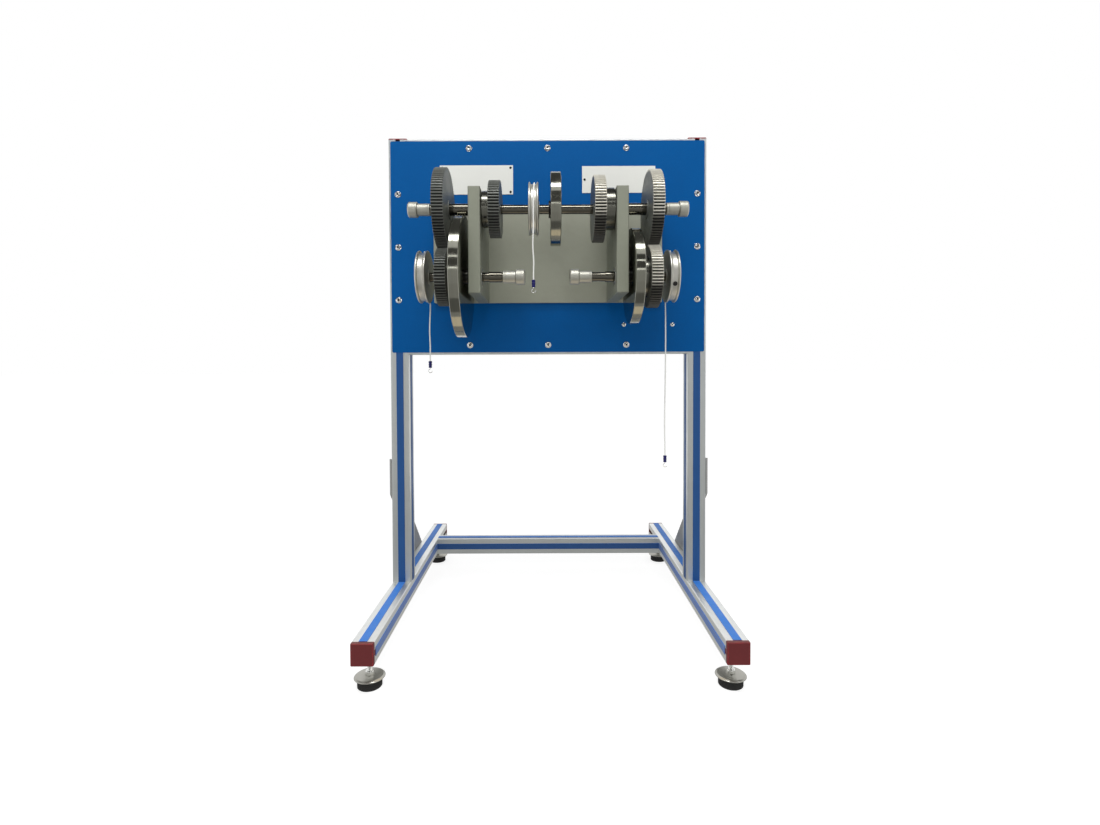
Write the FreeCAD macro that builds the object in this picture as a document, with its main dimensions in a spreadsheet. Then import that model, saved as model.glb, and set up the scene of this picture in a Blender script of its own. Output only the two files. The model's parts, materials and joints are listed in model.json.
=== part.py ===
import FreeCAD, Part
import Sketcher
import os
import re

# Geared system acceleration apparatus: a slotted aluminium stand with a steel panel, and on it
# three shafts in ball bearings, geared together, with flywheels, cord pulleys and weight hooks.
# Millimetres. X runs to the right, Y to the back and Z up, from the middle of the floor under it.

# Driving sizes
SIZES = {
    "profile_side": (45, "side of the square slotted bar"),
    "profile_corner": (2, "radius of the bar's outer corners"),
    "profile_bore": (11, "diameter of the bar's centre hole"),
    "slot_mouth": (11, "width of the slot at the bar's face"),
    "slot_lip": (4.5, "thickness of the slot's lips"),
    "slot_room": (20, "width of the slot behind its lips"),
    "slot_floor": (11, "width of the slot's floor"),
    "slot_depth": (14, "depth of the slot from the bar's face"),
    "strip_width": (17.4, "width of a slot cover strip"),
    "strip_face": (1, "thickness of a cover strip's face"),
    "strip_rib": (4, "height of the rib that holds a cover strip"),
    "slide_gap": (0.3, "play of a strip or nut in its slot"),
    "inner_width": (680, "clear width between the columns"),
    "column_height": (1080, "length of a column"),
    "rail_length": (816, "length of a foot rail"),
    "column_setback": (303.5, "from a rail's front end to the column's front"),
    "beam_setback": (648.5, "from a rail's front end to the rear beam's front"),
    "field_height": (520, "height of the field that the crossbars close"),
    "strip_inset": (5.5, "from a rail's front end to its inner strip"),
    "cap_thickness": (8.5, "thickness of a rail's end cap"),
    "cap_rim": (1.5, "chamfer round a cap"),
    "column_cap_thickness": (3, "thickness of a column's top cap"),
    "brace_thickness": (5, "thickness of a diagonal brace"),
    "brace_top": (305, "brace's upper edge above the rail, at the column's front"),
    "brace_low": (217, "brace's lower edge above the rail, at the column's front"),
    "brace_reach": (332, "where the upper edge meets the rail, behind the column's front"),
    "brace_drop": (40, "how far the brace reaches down the rail's side"),
    "brace_bolt_pitch": (40, "distance between the two bolts at a brace's end"),
    "bolt_radius": (4, "radius of a brace bolt"),
    "bolt_head_radius": (7.5, "radius of a brace bolt's head"),
    "bolt_head": (4.5, "height of a brace bolt's head"),
    "bolt_length": (16, "length of a brace bolt under its head"),
    "foot_height": (64, "from the floor to the rail"),
    "foot_inset": (40.5, "from a rail's end to its foot"),
    "pad_radius": (24.5, "radius of the rubber pad"),
    "pad_height": (18, "height of the rubber pad"),
    "dish_radius": (31, "radius of the foot's steel dish"),
    "dish_height": (6, "height of the dish"),
    "dish_rim": (1.5, "roundness of the dish's rolled rim"),
    "stem_radius": (5, "radius of the foot's threaded stem"),
    "stem_grip": (8, "length of the stem inside the rail's slot"),
    "nut_radius": (9.5, "corner radius of the stem's hexagonal nut"),
    "nut_height": (8, "height of the stem's nut"),
    "panel_margin": (5, "frame left showing round the panel"),
    "panel_thickness": (2, "thickness of the steel panel"),
    "panel_corner": (4, "radius of the panel's corners"),
    "panel_screw_pitch": (190, "spacing of the screws along the crossbars"),
    "panel_screw_rise": (127.5, "spacing of the screws up the columns"),
    "screw_radius": (3, "radius of a panel screw"),
    "screw_play": (0.3, "radial play of a screw in its hole"),
    "screw_head_radius": (5.5, "radius of a panel screw's head"),
    "screw_head": (3.2, "height of a panel screw's head"),
    "screw_length": (14, "length of a panel screw under its washer"),
    "washer_radius": (7.5, "radius of a panel screw's washer"),
    "washer_thickness": (1.5, "thickness of a panel screw's washer"),
    "slot_nut_height": (5, "thickness of a slot nut"),
    "label_width": (177, "width of a label plate"),
    "left_label_height": (70, "height of the left label plate"),
    "right_label_height": (64.5, "height of the right label plate"),
    "label_thickness": (1, "thickness of a label plate"),
    "label_centre": (172, "label plate's centre from the middle"),
    "label_rise": (114.5, "label plate's centre above the main shaft"),
    "plate_width": (550, "width of the backing plate"),
    "plate_height": (220, "height of the backing plate and cheeks"),
    "plate_thickness": (10, "thickness of the backing plate"),
    "plate_corner": (3, "radius of the backing plate's corners"),
    "cheek_depth": (197, "how far a cheek stands out from the backing plate"),
    "cheek_thickness": (25, "thickness of a cheek"),
    "cheek_centre": (154, "cheek's middle from the apparatus's middle"),
    "cheek_edge": (1.5, "chamfer on a cheek's front edges"),
    "cheek_screw_radius": (4, "radius of a screw that holds a cheek"),
    "cheek_screw_grip": (22, "length of that screw inside the cheek"),
    "cheek_screw_pitch": (80, "vertical spacing of those screws"),
    "cheek_screw_head_radius": (6.5, "radius of that screw's head"),
    "cheek_screw_head": (8, "height of that screw's head"),
    "axis_height": (867, "main shaft's height above the rails"),
    "axis_standoff": (151, "shafts' distance from the backing plate"),
    "axis_rise": (183, "main shaft's height above the cheek's lower edge"),
    "shaft_radius": (10, "radius of every shaft"),
    "shaft_edge": (1, "chamfer at a shaft's end"),
    "shaft_end": (3, "how far a lower shaft stands out of its pulley"),
    "fit_gap": (0.02, "radial gap of what is clamped on a shaft or set in a bore"),
    "bearing_radius": (21, "outer radius of a ball bearing"),
    "bearing_race": (15, "radius where a bearing's fixed and turning rings part"),
    "bearing_width": (24, "width of a bearing"),
    "running_gap": (0.05, "radial gap between a bearing's rings"),
    "sleeve_radius": (12.5, "radius of a spacer sleeve"),
    "gear_module": (2, "module of every gear"),
    "pressure_angle": (20, "pressure angle of every gear, in degrees"),
    "backlash": (0.1, "play between meshing teeth at the pitch circle"),
    "tooth_foot": (1.25, "depth of a tooth below the pitch circle, in modules"),
    "gear_width": (24, "width of a gear's teeth"),
    "upper_left_teeth": (84, "teeth of the main shaft's left gear"),
    "lower_left_teeth": (60, "teeth of the left lower gear"),
    "upper_right_teeth": (79, "teeth of the main shaft's right gear"),
    "lower_right_teeth": (65, "teeth of the right lower gear"),
    "inner_left_teeth": (58, "teeth of the main shaft's inner left gear"),
    "inner_right_teeth": (68, "teeth of the main shaft's inner right gear"),
    "left_gear_near": (212, "left gears' inner face from the middle"),
    "right_gear_near": (211, "right gears' inner face from the middle"),
    "inner_left_gear_near": (101, "inner left gear's face from the middle"),
    "inner_right_gear_near": (95, "inner right gear's face from the middle"),
    "left_hub_radius": (38, "radius of the left gears' hubs"),
    "right_hub_radius": (44, "radius of the right gears' hubs"),
    "cheek_gap": (1.5, "gap between an inner gear's hub and the cheek"),
    "pulley_radius": (56, "radius of a pulley's flanges"),
    "pulley_width": (21, "width of a pulley"),
    "groove_radius": (51.5, "radius of a pulley's groove at its floor"),
    "groove_floor": (11, "width of the groove's floor"),
    "groove_mouth": (13.5, "width of the groove's mouth"),
    "pulley_boss_radius": (17, "radius of a pulley's boss"),
    "pulley_boss": (1.5, "height of a pulley's boss"),
    "main_pulley_centre": (31, "main pulley's middle, left of the middle"),
    "left_pulley_centre": (266, "left pulley's middle from the middle"),
    "right_pulley_centre": (262, "right pulley's middle from the middle"),
    "main_flywheel_radius": (77, "radius of the main shaft's flywheel"),
    "main_flywheel_width": (22, "width of the main shaft's flywheel"),
    "main_flywheel_near": (4.5, "main flywheel's left face, right of the middle"),
    "left_flywheel_radius": (129, "radius of the left flywheel"),
    "left_flywheel_width": (21, "width of the left flywheel"),
    "left_flywheel_near": (175, "left flywheel's inner face from the middle"),
    "right_flywheel_radius": (101, "radius of the right flywheel"),
    "right_flywheel_width": (20, "width of the right flywheel"),
    "right_flywheel_near": (173, "right flywheel's inner face from the middle"),
    "flywheel_edge": (1, "chamfer on a flywheel's rim"),
    "flywheel_boss_radius": (14.5, "radius of a lower flywheel's boss"),
    "collar_radius": (18, "radius of the main flywheel's collar"),
    "collar_width": (3.5, "width of the main flywheel's collar"),
    "knob_neck_radius": (13, "radius of a knob's neck"),
    "knob_neck": (27.5, "length of a knob's neck"),
    "knob_head_radius": (16.5, "radius of a knob's head"),
    "knob_head": (20, "length of a knob's head"),
    "knob_edge": (1.5, "chamfer on a knob's head"),
    "knob_bore": (15, "how deep a shaft's end sits in its knob"),
    "main_knob_near": (252, "main shaft's knobs' necks from the middle"),
    "left_knob_near": (97.5, "left lower knob's neck from the middle"),
    "right_knob_near": (93, "right lower knob's neck from the middle"),
    "cord_radius": (1.5, "radius of a cord"),
    "cord_seat": (0.3, "gap between a cord and the groove's floor"),
    "main_wrap": (140, "cord on the main pulley at rest, in degrees"),
    "side_wrap": (98, "cord on a lower pulley at rest, in degrees"),
    "main_drop": (158.5, "length of the main cord below its pulley's middle"),
    "left_drop": (180, "length of the left cord below its pulley's middle"),
    "right_drop": (395, "length of the right cord below its pulley's middle"),
    "ferrule_radius": (4, "radius of the ferrule at a cord's end"),
    "ferrule_length": (15, "length of the ferrule"),
    "hook_radius": (4, "radius of the wire hook, at the wire's middle"),
    "hook_wire": (0.75, "radius of the hook's wire"),
    "hook_stem": (2, "straight wire between ferrule and hook"),
    "hook_turn": (285, "how far round the hook goes, in degrees"),
}

doc = FreeCAD.newDocument("acceleration_apparatus")
sheet = doc.addObject("Spreadsheet::Sheet", "sizes")
for row, (alias, (value, words)) in enumerate(SIZES.items(), 1):
    sheet.set(f"A{row}", words)
    sheet.set(f"B{row}", str(value))
    sheet.setAlias(f"B{row}", alias)
doc.recompute()

# Places worked out from the driving sizes
RAIL_X = "(inner_width + profile_side) / 2"
RAIL_Z = "(foot_height + profile_side / 2)"
RAIL_TOP = "(foot_height + profile_side)"
OUTER_X = "(inner_width / 2 + profile_side)"
COLUMN_FRONT = "(column_setback - rail_length / 2)"
COLUMN_Y = f"({COLUMN_FRONT} + profile_side / 2)"
BEAM_FRONT = "(beam_setback - rail_length / 2)"
FRAME_TOP = f"({RAIL_TOP} + column_height)"
FIELD_LOW = f"({FRAME_TOP} - field_height)"
FIELD_MID = f"({FRAME_TOP} - field_height / 2)"
PANEL_FRONT = f"({COLUMN_FRONT} - panel_thickness)"
PLATE_FRONT = f"({PANEL_FRONT} - plate_thickness)"
AXIS_Y = f"({PLATE_FRONT} - axis_standoff)"
MAIN_Z = f"({RAIL_TOP} + axis_height)"
LEFT_Z = f"({MAIN_Z} - gear_module * (upper_left_teeth + lower_left_teeth) / 2)"
RIGHT_Z = f"({MAIN_Z} - gear_module * (upper_right_teeth + lower_right_teeth) / 2)"
PLATE_LOW = f"({MAIN_Z} - axis_rise)"
CHEEK_SCREWS = [f"(plate_height / 2 + {step} * cheek_screw_pitch)" for step in (-1, 0, 1)]
CORD_RADIUS = "(groove_radius + cord_seat + cord_radius)"
BRACE_SLOPE = "(brace_top / brace_reach)"
SLOT_TAPER = "((slot_room - slot_floor) / 2 / (slot_depth - slot_lip))"
NUT_HALF = f"(slot_room / 2 - slot_nut_height * {SLOT_TAPER} - slide_gap)"

nodes = {}


def formula(text):
    """The text with each size's name pointed at the sheet."""
    return re.sub(r"[a-z]+(_[a-z]+)*", lambda m: f"sizes.{m[0]}" if m[0] in SIZES else m[0], str(text))


def bind(piece, prop, text):
    piece.setExpression(prop, formula(text))


def new_body(name):
    body = doc.addObject("PartDesign::Body", name)
    body.Label = name
    return body


def origin(body, role):
    return next(f for f in body.Origin.OriginFeatures if f.Role == role)


def sketch_on(body, role, corners=(), circles=()):
    """A sketch on one of the body's own planes: a closed run of corners, and circles (x, y, radius)."""
    sketch = body.newObject("Sketcher::SketchObject", body.Name + "_outline")
    sketch.AttachmentSupport = [(origin(body, role), "")]
    sketch.MapMode = "FlatFace"
    points = [
        FreeCAD.Vector(*(float(sketch.evalExpression(formula(value))) for value in corner), 0)
        for corner in corners
    ]
    count = len(points)
    for index in range(count):
        sketch.addGeometry(Part.LineSegment(points[index], points[(index + 1) % count]))
    for index in range(count):
        sketch.addConstraint(Sketcher.Constraint("Coincident", index, 2, (index + 1) % count, 1))
    for index, (corner, point) in enumerate(zip(corners, points)):
        for kind, value, now in zip(("DistanceX", "DistanceY"), corner, point):
            which = sketch.addConstraint(Sketcher.Constraint(kind, index, 1, now))
            bind(sketch, f"Constraints[{which}]", value)
    for x, y, radius in circles:
        centre = FreeCAD.Vector(*(float(sketch.evalExpression(formula(value))) for value in (x, y)), 0)
        size = float(sketch.evalExpression(formula(radius)))
        index = sketch.addGeometry(Part.Circle(centre, FreeCAD.Vector(0, 0, 1), size))
        for kind, value, now in (("DistanceX", x, centre.x), ("DistanceY", y, centre.y)):
            which = sketch.addConstraint(Sketcher.Constraint(kind, index, 3, now))
            bind(sketch, f"Constraints[{which}]", value)
        which = sketch.addConstraint(Sketcher.Constraint("Radius", index, size))
        bind(sketch, f"Constraints[{which}]", radius)
    return sketch


def padded(name, length, corners=(), circles=()):
    """A body extruded along its own Z."""
    body = new_body(name)
    pad = body.newObject("PartDesign::Pad", name + "_pad")
    pad.Profile = sketch_on(body, "XY_Plane", corners, circles)
    bind(pad, "Length", length)
    return body


def turned(name, corners):
    """A body turned about its own Z, from corners (radius, height)."""
    body = new_body(name)
    turn = body.newObject("PartDesign::Revolution", name + "_turn")
    turn.Profile = sketch_on(body, "XZ_Plane", corners)
    turn.ReferenceAxis = (origin(body, "Z_Axis"), [""])
    turn.Angle = 360
    return body


def round_edges(body, radius):
    """Rounds the body's four outermost edges along its own Z."""
    doc.recompute()
    base = body.Tip
    box = base.Shape.BoundBox
    picked = []
    for number, edge in enumerate(base.Shape.Edges, 1):
        ends = [vertex.Point for vertex in edge.Vertexes]
        at_x = all(min(abs(end.x - box.XMin), abs(end.x - box.XMax)) < 1e-6 for end in ends)
        at_y = all(min(abs(end.y - box.YMin), abs(end.y - box.YMax)) < 1e-6 for end in ends)
        if at_x and at_y and abs(ends[0].z - ends[-1].z) > 1e-6:
            picked.append(f"Edge{number}")
    fillet = body.newObject("PartDesign::Fillet", body.Name + "_round")
    fillet.Base = (base, picked)
    bind(fillet, "Radius", radius)
    body.Tip = fillet
    return body


def facing(out, along):
    """The rotation that points a piece's own Y out and its own Z along."""
    out = FreeCAD.Vector(*out)
    along = FreeCAD.Vector(*along)
    return FreeCAD.Rotation(out.cross(along), out, along, "XYZ")


def place(piece, x, y, z, rotation=FreeCAD.Rotation()):
    piece.Placement = FreeCAD.Placement(FreeCAD.Vector(), rotation)
    for axis, value in zip("xyz", (x, y, z)):
        bind(piece, f"Placement.Base.{axis}", value)
    return piece


RIGHT = (1, 0, 0)
LEFT = (-1, 0, 0)
BACK = (0, 1, 0)
FRONT = (0, -1, 0)
UP = (0, 0, 1)
DOWN = (0, 0, -1)
TO_RIGHT = facing(BACK, RIGHT)
TO_LEFT = facing(FRONT, LEFT)
TO_BACK = facing(DOWN, BACK)
TO_FRONT = facing(UP, FRONT)


def node(name, piece):
    """Names a finished sub-part."""
    piece.Label = name
    nodes[name] = piece
    return piece


def group(name, pieces):
    """One sub-part of several like solids."""
    compound = doc.addObject("Part::Compound", name)
    compound.Links = pieces
    return node(name, compound)


def rectangle(left, right, low, high):
    return [(left, low), (right, low), (right, high), (left, high)]


# The slotted bar
def bar(name, length):
    """A bar along its own Z, slotted on its four sides."""
    side = [
        ("profile_side / 2", "-profile_side / 2"),
        ("profile_side / 2", "-slot_mouth / 2"),
        ("profile_side / 2 - slot_lip", "-slot_mouth / 2"),
        ("profile_side / 2 - slot_lip", "-slot_room / 2"),
        ("profile_side / 2 - slot_depth", "-slot_floor / 2"),
        ("profile_side / 2 - slot_depth", "slot_floor / 2"),
        ("profile_side / 2 - slot_lip", "slot_room / 2"),
        ("profile_side / 2 - slot_lip", "slot_mouth / 2"),
        ("profile_side / 2", "slot_mouth / 2"),
    ]
    corners = []
    for quarter in range(4):
        for u, v in side:
            corners.append([(u, v), (f"-({v})", u), (f"-({u})", f"-({v})"), (v, f"-({u})")][quarter])
    body = padded(name, length, corners, [("0", "0", "profile_bore / 2")])
    return round_edges(body, "profile_corner")


SIDES = (("left", "-"), ("right", ""))
for side, sign in SIDES:
    column = node(f"{side}_column", bar(f"{side}_column", "column_height"))
    place(column, f"{sign}{RAIL_X}", COLUMN_Y, RAIL_TOP)
    rail = node(f"{side}_foot_rail", bar(f"{side}_foot_rail", "rail_length"))
    place(rail, f"{sign}{RAIL_X}", "-rail_length / 2", RAIL_Z, TO_BACK)
crossbars = (
    ("top_crossbar", COLUMN_Y, f"{FRAME_TOP} - profile_side / 2"),
    ("bottom_crossbar", COLUMN_Y, f"{FIELD_LOW} + profile_side / 2"),
    ("rear_beam", f"{BEAM_FRONT} + profile_side / 2", RAIL_Z),
)
for name, y, z in crossbars:
    place(node(name, bar(name, "inner_width")), "-inner_width / 2", y, z, TO_RIGHT)


# Cover strips
def strip(name, length):
    """A cover strip along its own Z, whose rib points to its own -Y."""
    rib = "(slot_mouth / 2 - slide_gap)"
    corners = [
        ("-strip_width / 2", "0"),
        (f"-{rib}", "0"),
        (f"-{rib}", "-strip_rib"),
        (rib, "-strip_rib"),
        (rib, "0"),
        ("strip_width / 2", "0"),
        ("strip_width / 2 - strip_face / 2", "strip_face"),
        ("strip_face / 2 - strip_width / 2", "strip_face"),
    ]
    return padded(name, length, corners)


column_strips = []
rail_strips = []
for side, sign, inward in (("left", "-", RIGHT), ("right", "", LEFT)):
    x = f"{sign}{RAIL_X}"
    inner_x = f"{sign}inner_width / 2"
    front = strip(f"{side}_column_front_strip", f"{FIELD_LOW} + panel_margin - {RAIL_TOP}")
    inner = strip(f"{side}_column_inner_strip", f"{FIELD_LOW} - {RAIL_TOP}")
    toe = strip(f"{side}_rail_front_strip", "column_setback - strip_face")
    heel = strip(f"{side}_rail_rear_strip", "rail_length - column_setback - profile_side")
    lower = strip(f"{side}_rail_inner_strip", "beam_setback - strip_inset - strip_face")
    column_strips.append(place(front, x, COLUMN_FRONT, RAIL_TOP, facing(FRONT, UP)))
    column_strips.append(place(inner, inner_x, COLUMN_Y, RAIL_TOP, facing(inward, UP)))
    rail_strips.append(place(toe, x, "-rail_length / 2", RAIL_TOP, facing(UP, BACK)))
    rail_strips.append(place(heel, x, f"{COLUMN_FRONT} + profile_side", RAIL_TOP, facing(UP, BACK)))
    rail_strips.append(place(lower, inner_x, "strip_inset - rail_length / 2", RAIL_Z, facing(inward, BACK)))
beam_top = strip("beam_top_strip", "inner_width")
place(beam_top, "-inner_width / 2", f"{BEAM_FRONT} + profile_side / 2", RAIL_TOP, facing(UP, RIGHT))
beam_front = strip("beam_front_strip", "inner_width")
place(beam_front, "-inner_width / 2", BEAM_FRONT, RAIL_Z, facing(FRONT, RIGHT))
group("column_cover_strips", column_strips)
group("base_cover_strips", rail_strips + [beam_top, beam_front])


# Caps
def cap(name, thickness):
    """A square cap that grows along its own Z, with a bevelled rim."""
    half = "profile_side / 2"
    body = padded(name, thickness, rectangle(f"-{half}", half, f"-{half}", half))
    round_edges(body, "profile_corner")
    base = body.Tip
    doc.recompute()
    top = max(base.Shape.Faces, key=lambda face: face.CenterOfMass.z)
    rim = [f"Face{number}" for number, face in enumerate(base.Shape.Faces, 1) if face.isSame(top)]
    chamfer = body.newObject("PartDesign::Chamfer", name + "_rim")
    chamfer.Base = (base, rim)
    bind(chamfer, "Size", "cap_rim")
    body.Tip = chamfer
    return body


rail_caps = []
column_caps = []
for side, sign in SIDES:
    for end, y, rotation in (("front", "-rail_length / 2", TO_FRONT), ("rear", "rail_length / 2", TO_BACK)):
        piece = cap(f"{side}_{end}_cap", "cap_thickness")
        rail_caps.append(place(piece, f"{sign}{RAIL_X}", y, RAIL_Z, rotation))
    piece = cap(f"{side}_column_cap", "column_cap_thickness")
    column_caps.append(place(piece, f"{sign}{RAIL_X}", COLUMN_Y, FRAME_TOP))
group("rail_end_caps", rail_caps)
group("column_caps", column_caps)


# Diagonal braces, each held by two bolts to the column and two to the rail
column_bolt_z = "(brace_top + brace_low) / 2 - profile_side / 2 * brace_top / brace_reach"
rail_bolt_y = "(brace_top + brace_low) / 2 / brace_top * brace_reach + profile_side / 2 * brace_reach / brace_top"
brace_bolts = [("profile_side / 2", f"{column_bolt_z} + {step} * brace_bolt_pitch / 2") for step in (-1, 1)]
brace_bolts += [(f"{rail_bolt_y} + {step} * brace_bolt_pitch / 2", "-profile_side / 2") for step in (-1, 1)]
brace_corners = [
    ("0", "brace_top"),
    ("0", "brace_low"),
    (f"(brace_low + brace_drop) / {BRACE_SLOPE}", "-brace_drop"),
    (f"(brace_top + brace_drop) / {BRACE_SLOPE}", "-brace_drop"),
]
bolts = []
for side, sign in SIDES:
    holes = [(y, z, "bolt_radius + screw_play") for y, z in brace_bolts]
    brace = node(f"{side}_brace", padded(f"{side}_brace", "brace_thickness", brace_corners, holes))
    start = OUTER_X if side == "right" else f"-{OUTER_X} - brace_thickness"
    place(brace, start, COLUMN_FRONT, RAIL_TOP, facing(UP, RIGHT))
    for number, (y, z) in enumerate(brace_bolts):
        bolt = turned(f"{side}_brace_bolt_{number}", [
            ("0", "-bolt_length"),
            ("bolt_radius", "-bolt_length"),
            ("bolt_radius", "0"),
            ("bolt_head_radius", "0"),
            ("bolt_head_radius", "bolt_head / 3"),
            ("bolt_head_radius * 0.6", "bolt_head"),
            ("0", "bolt_head"),
        ])
        outward = TO_RIGHT if side == "right" else TO_LEFT
        place(bolt, f"{sign}({OUTER_X} + brace_thickness)", f"{COLUMN_FRONT} + {y}", f"{RAIL_TOP} + {z}", outward)
        bolts.append(bolt)
group("brace_bolts", bolts)

# Levelling feet
stems = []
dishes = []
pads = []
for side, sign in SIDES:
    for end, way in (("front", "-"), ("rear", "")):
        foot = f"{side}_{end}"
        spot = (f"{sign}{RAIL_X}", f"{way}(rail_length / 2 - foot_inset)", "0")
        rubber = turned(f"{foot}_pad", [
            ("0", "0"),
            ("pad_radius - dish_rim", "0"),
            ("pad_radius", "dish_rim"),
            ("pad_radius", "pad_height"),
            ("0", "pad_height"),
        ])
        dish_top = "pad_height + dish_height"
        dish = turned(f"{foot}_dish", [
            ("0", "pad_height"),
            ("pad_radius", "pad_height"),
            ("dish_radius - dish_rim", "pad_height + dish_rim / 2"),
            ("dish_radius", "pad_height + dish_rim * 1.5"),
            ("dish_radius", f"{dish_top} - dish_rim"),
            ("dish_radius - dish_rim", dish_top),
            ("dish_radius - dish_rim * 2", dish_top),
            ("dish_radius - dish_rim * 3", f"{dish_top} - dish_rim"),
            ("nut_radius", dish_top),
            ("0", dish_top),
        ])
        stem = turned(f"{foot}_stem", [
            ("0", dish_top),
            ("stem_radius", dish_top),
            ("stem_radius", "foot_height + stem_grip"),
            ("0", "foot_height + stem_grip"),
        ])
        hexagon = [(f"nut_radius * cos({60 * k} deg)", f"nut_radius * sin({60 * k} deg)") for k in range(6)]
        for level, height in (("low", dish_top), ("high", "foot_height - nut_height")):
            nut = padded(f"{foot}_{level}_nut", "nut_height", hexagon, [("0", "0", "stem_radius + fit_gap")])
            stems.append(place(nut, spot[0], spot[1], height))
        for pieces, piece in ((pads, rubber), (dishes, dish), (stems, stem)):
            pieces.append(place(piece, *spot))
group("foot_stems", stems)
group("foot_dishes", dishes)
group("foot_pads", pads)

# Steel panel and what holds it
panel_screws = [("0", "field_height / 2 - profile_side / 2"), ("0", "profile_side / 2 - field_height / 2")]
for sign in ("-", ""):
    panel_screws += [(f"{sign}panel_screw_pitch", z) for z in [spot[1] for spot in panel_screws[:2]]]
    panel_screws += [(f"{sign}{RAIL_X}", f"{step} * panel_screw_rise") for step in (-1, 0, 1)]
cheek_screws = [
    (f"{sign}cheek_centre", f"{PLATE_LOW} + {z} - {FIELD_MID}") for _, sign in SIDES for z in CHEEK_SCREWS
]
panel_holes = [(x, z, "screw_radius + screw_play") for x, z in panel_screws]
panel_holes += [(x, z, "cheek_screw_radius + screw_play") for x, z in cheek_screws]
half_width = f"({OUTER_X} - panel_margin)"
half_height = "(field_height / 2 - panel_margin)"
panel = padded("front_panel", "panel_thickness",
               rectangle(f"-{half_width}", half_width, f"-{half_height}", half_height), panel_holes)
round_edges(panel, "panel_corner")
place(node("front_panel", panel), "0", COLUMN_FRONT, FIELD_MID, TO_FRONT)

screws = []
nuts = []
for number, (x, z) in enumerate(panel_screws):
    screw = turned(f"panel_screw_{number}", [
        ("0", "-screw_length"),
        ("screw_radius", "-screw_length"),
        ("screw_radius", "0"),
        ("washer_radius", "0"),
        ("washer_radius", "washer_thickness"),
        ("screw_head_radius", "washer_thickness"),
        ("screw_head_radius * 0.6", "washer_thickness + screw_head"),
        ("0", "washer_thickness + screw_head"),
    ])
    screws.append(place(screw, x, PANEL_FRONT, f"{FIELD_MID} + {z}", TO_FRONT))
    nut = padded(f"slot_nut_{number}", "slot_nut_height",
                 rectangle(f"-{NUT_HALF}", NUT_HALF, f"-{NUT_HALF}", NUT_HALF),
                 [("0", "0", "screw_radius + fit_gap")])
    nuts.append(place(nut, x, f"{COLUMN_FRONT} + slot_lip + fit_gap", f"{FIELD_MID} + {z}", TO_BACK))
group("panel_screws", screws)
group("slot_nuts", nuts)

# Blank label plates
plates = []
for side, sign in SIDES:
    half_wide = "label_width / 2"
    half_high = f"{side}_label_height / 2"
    plate = padded(f"{side}_label", "label_thickness",
                   rectangle(f"-{half_wide}", half_wide, f"-{half_high}", half_high))
    plates.append(place(plate, f"{sign}label_centre", PANEL_FRONT, f"{MAIN_Z} + label_rise", TO_FRONT))
group("label_plates", plates)

# Backing plate and cheeks
plate_holes = [(f"{sign}cheek_centre", z, "cheek_screw_radius + screw_play")
               for _, sign in SIDES for z in CHEEK_SCREWS]
plate = padded("backing_plate", "plate_thickness",
               rectangle("-plate_width / 2", "plate_width / 2", "0", "plate_height"), plate_holes)
round_edges(plate, "plate_corner")
place(node("backing_plate", plate), "0", PANEL_FRONT, PLATE_LOW, TO_FRONT)

lower_rise = {"left": f"{LEFT_Z} - {PLATE_LOW}", "right": f"{RIGHT_Z} - {PLATE_LOW}"}
for side, sign in SIDES:
    bores = [(z, "axis_standoff", "bearing_radius + fit_gap") for z in ("axis_rise", lower_rise[side])]
    cheek = padded(f"{side}_cheek", "cheek_thickness",
                   rectangle("0", "plate_height", "0", "cheek_depth"), bores)
    doc.recompute()
    base = cheek.Tip
    front_edges = [
        f"Edge{number}" for number, edge in enumerate(base.Shape.Edges, 1)
        if len(edge.Vertexes) == 2
        and all(abs(vertex.Y - base.Shape.BoundBox.YMax) < 1e-6 for vertex in edge.Vertexes)
    ]
    chamfer = cheek.newObject("PartDesign::Chamfer", f"{side}_cheek_edge")
    chamfer.Base = (base, front_edges)
    bind(chamfer, "Size", "cheek_edge")
    cheek.Tip = chamfer
    tapped = [(z, "cheek_thickness / 2", "cheek_screw_radius + fit_gap") for z in CHEEK_SCREWS]
    pocket = cheek.newObject("PartDesign::Pocket", f"{side}_cheek_tapped")
    pocket.Profile = sketch_on(cheek, "XZ_Plane", (), tapped)
    bind(pocket, "Length", "cheek_screw_grip + screw_play")
    cheek.Tip = pocket
    start = f"{sign}cheek_centre - cheek_thickness / 2"
    place(node(f"{side}_cheek", cheek), start, PLATE_FRONT, PLATE_LOW, facing(FRONT, RIGHT))

holding = []
for side, sign in SIDES:
    for number, z in enumerate(CHEEK_SCREWS):
        reach = "(panel_thickness + plate_thickness + cheek_screw_grip)"
        screw = turned(f"{side}_cheek_screw_{number}", [
            ("0", f"-{reach}"),
            ("cheek_screw_radius", f"-{reach}"),
            ("cheek_screw_radius", "0"),
            ("cheek_screw_head_radius", "0"),
            ("cheek_screw_head_radius", "cheek_screw_head"),
            ("0", "cheek_screw_head"),
        ])
        holding.append(place(screw, f"{sign}cheek_centre", COLUMN_FRONT, f"{PLATE_LOW} + {z}", TO_BACK))
group("cheek_screws", holding)


# Ball bearings: a fixed ring in the cheek and a turning ring on the shaft
def ring(name, inner, outer):
    return turned(name, rectangle(inner, outer, "0", "bearing_width"))


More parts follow.
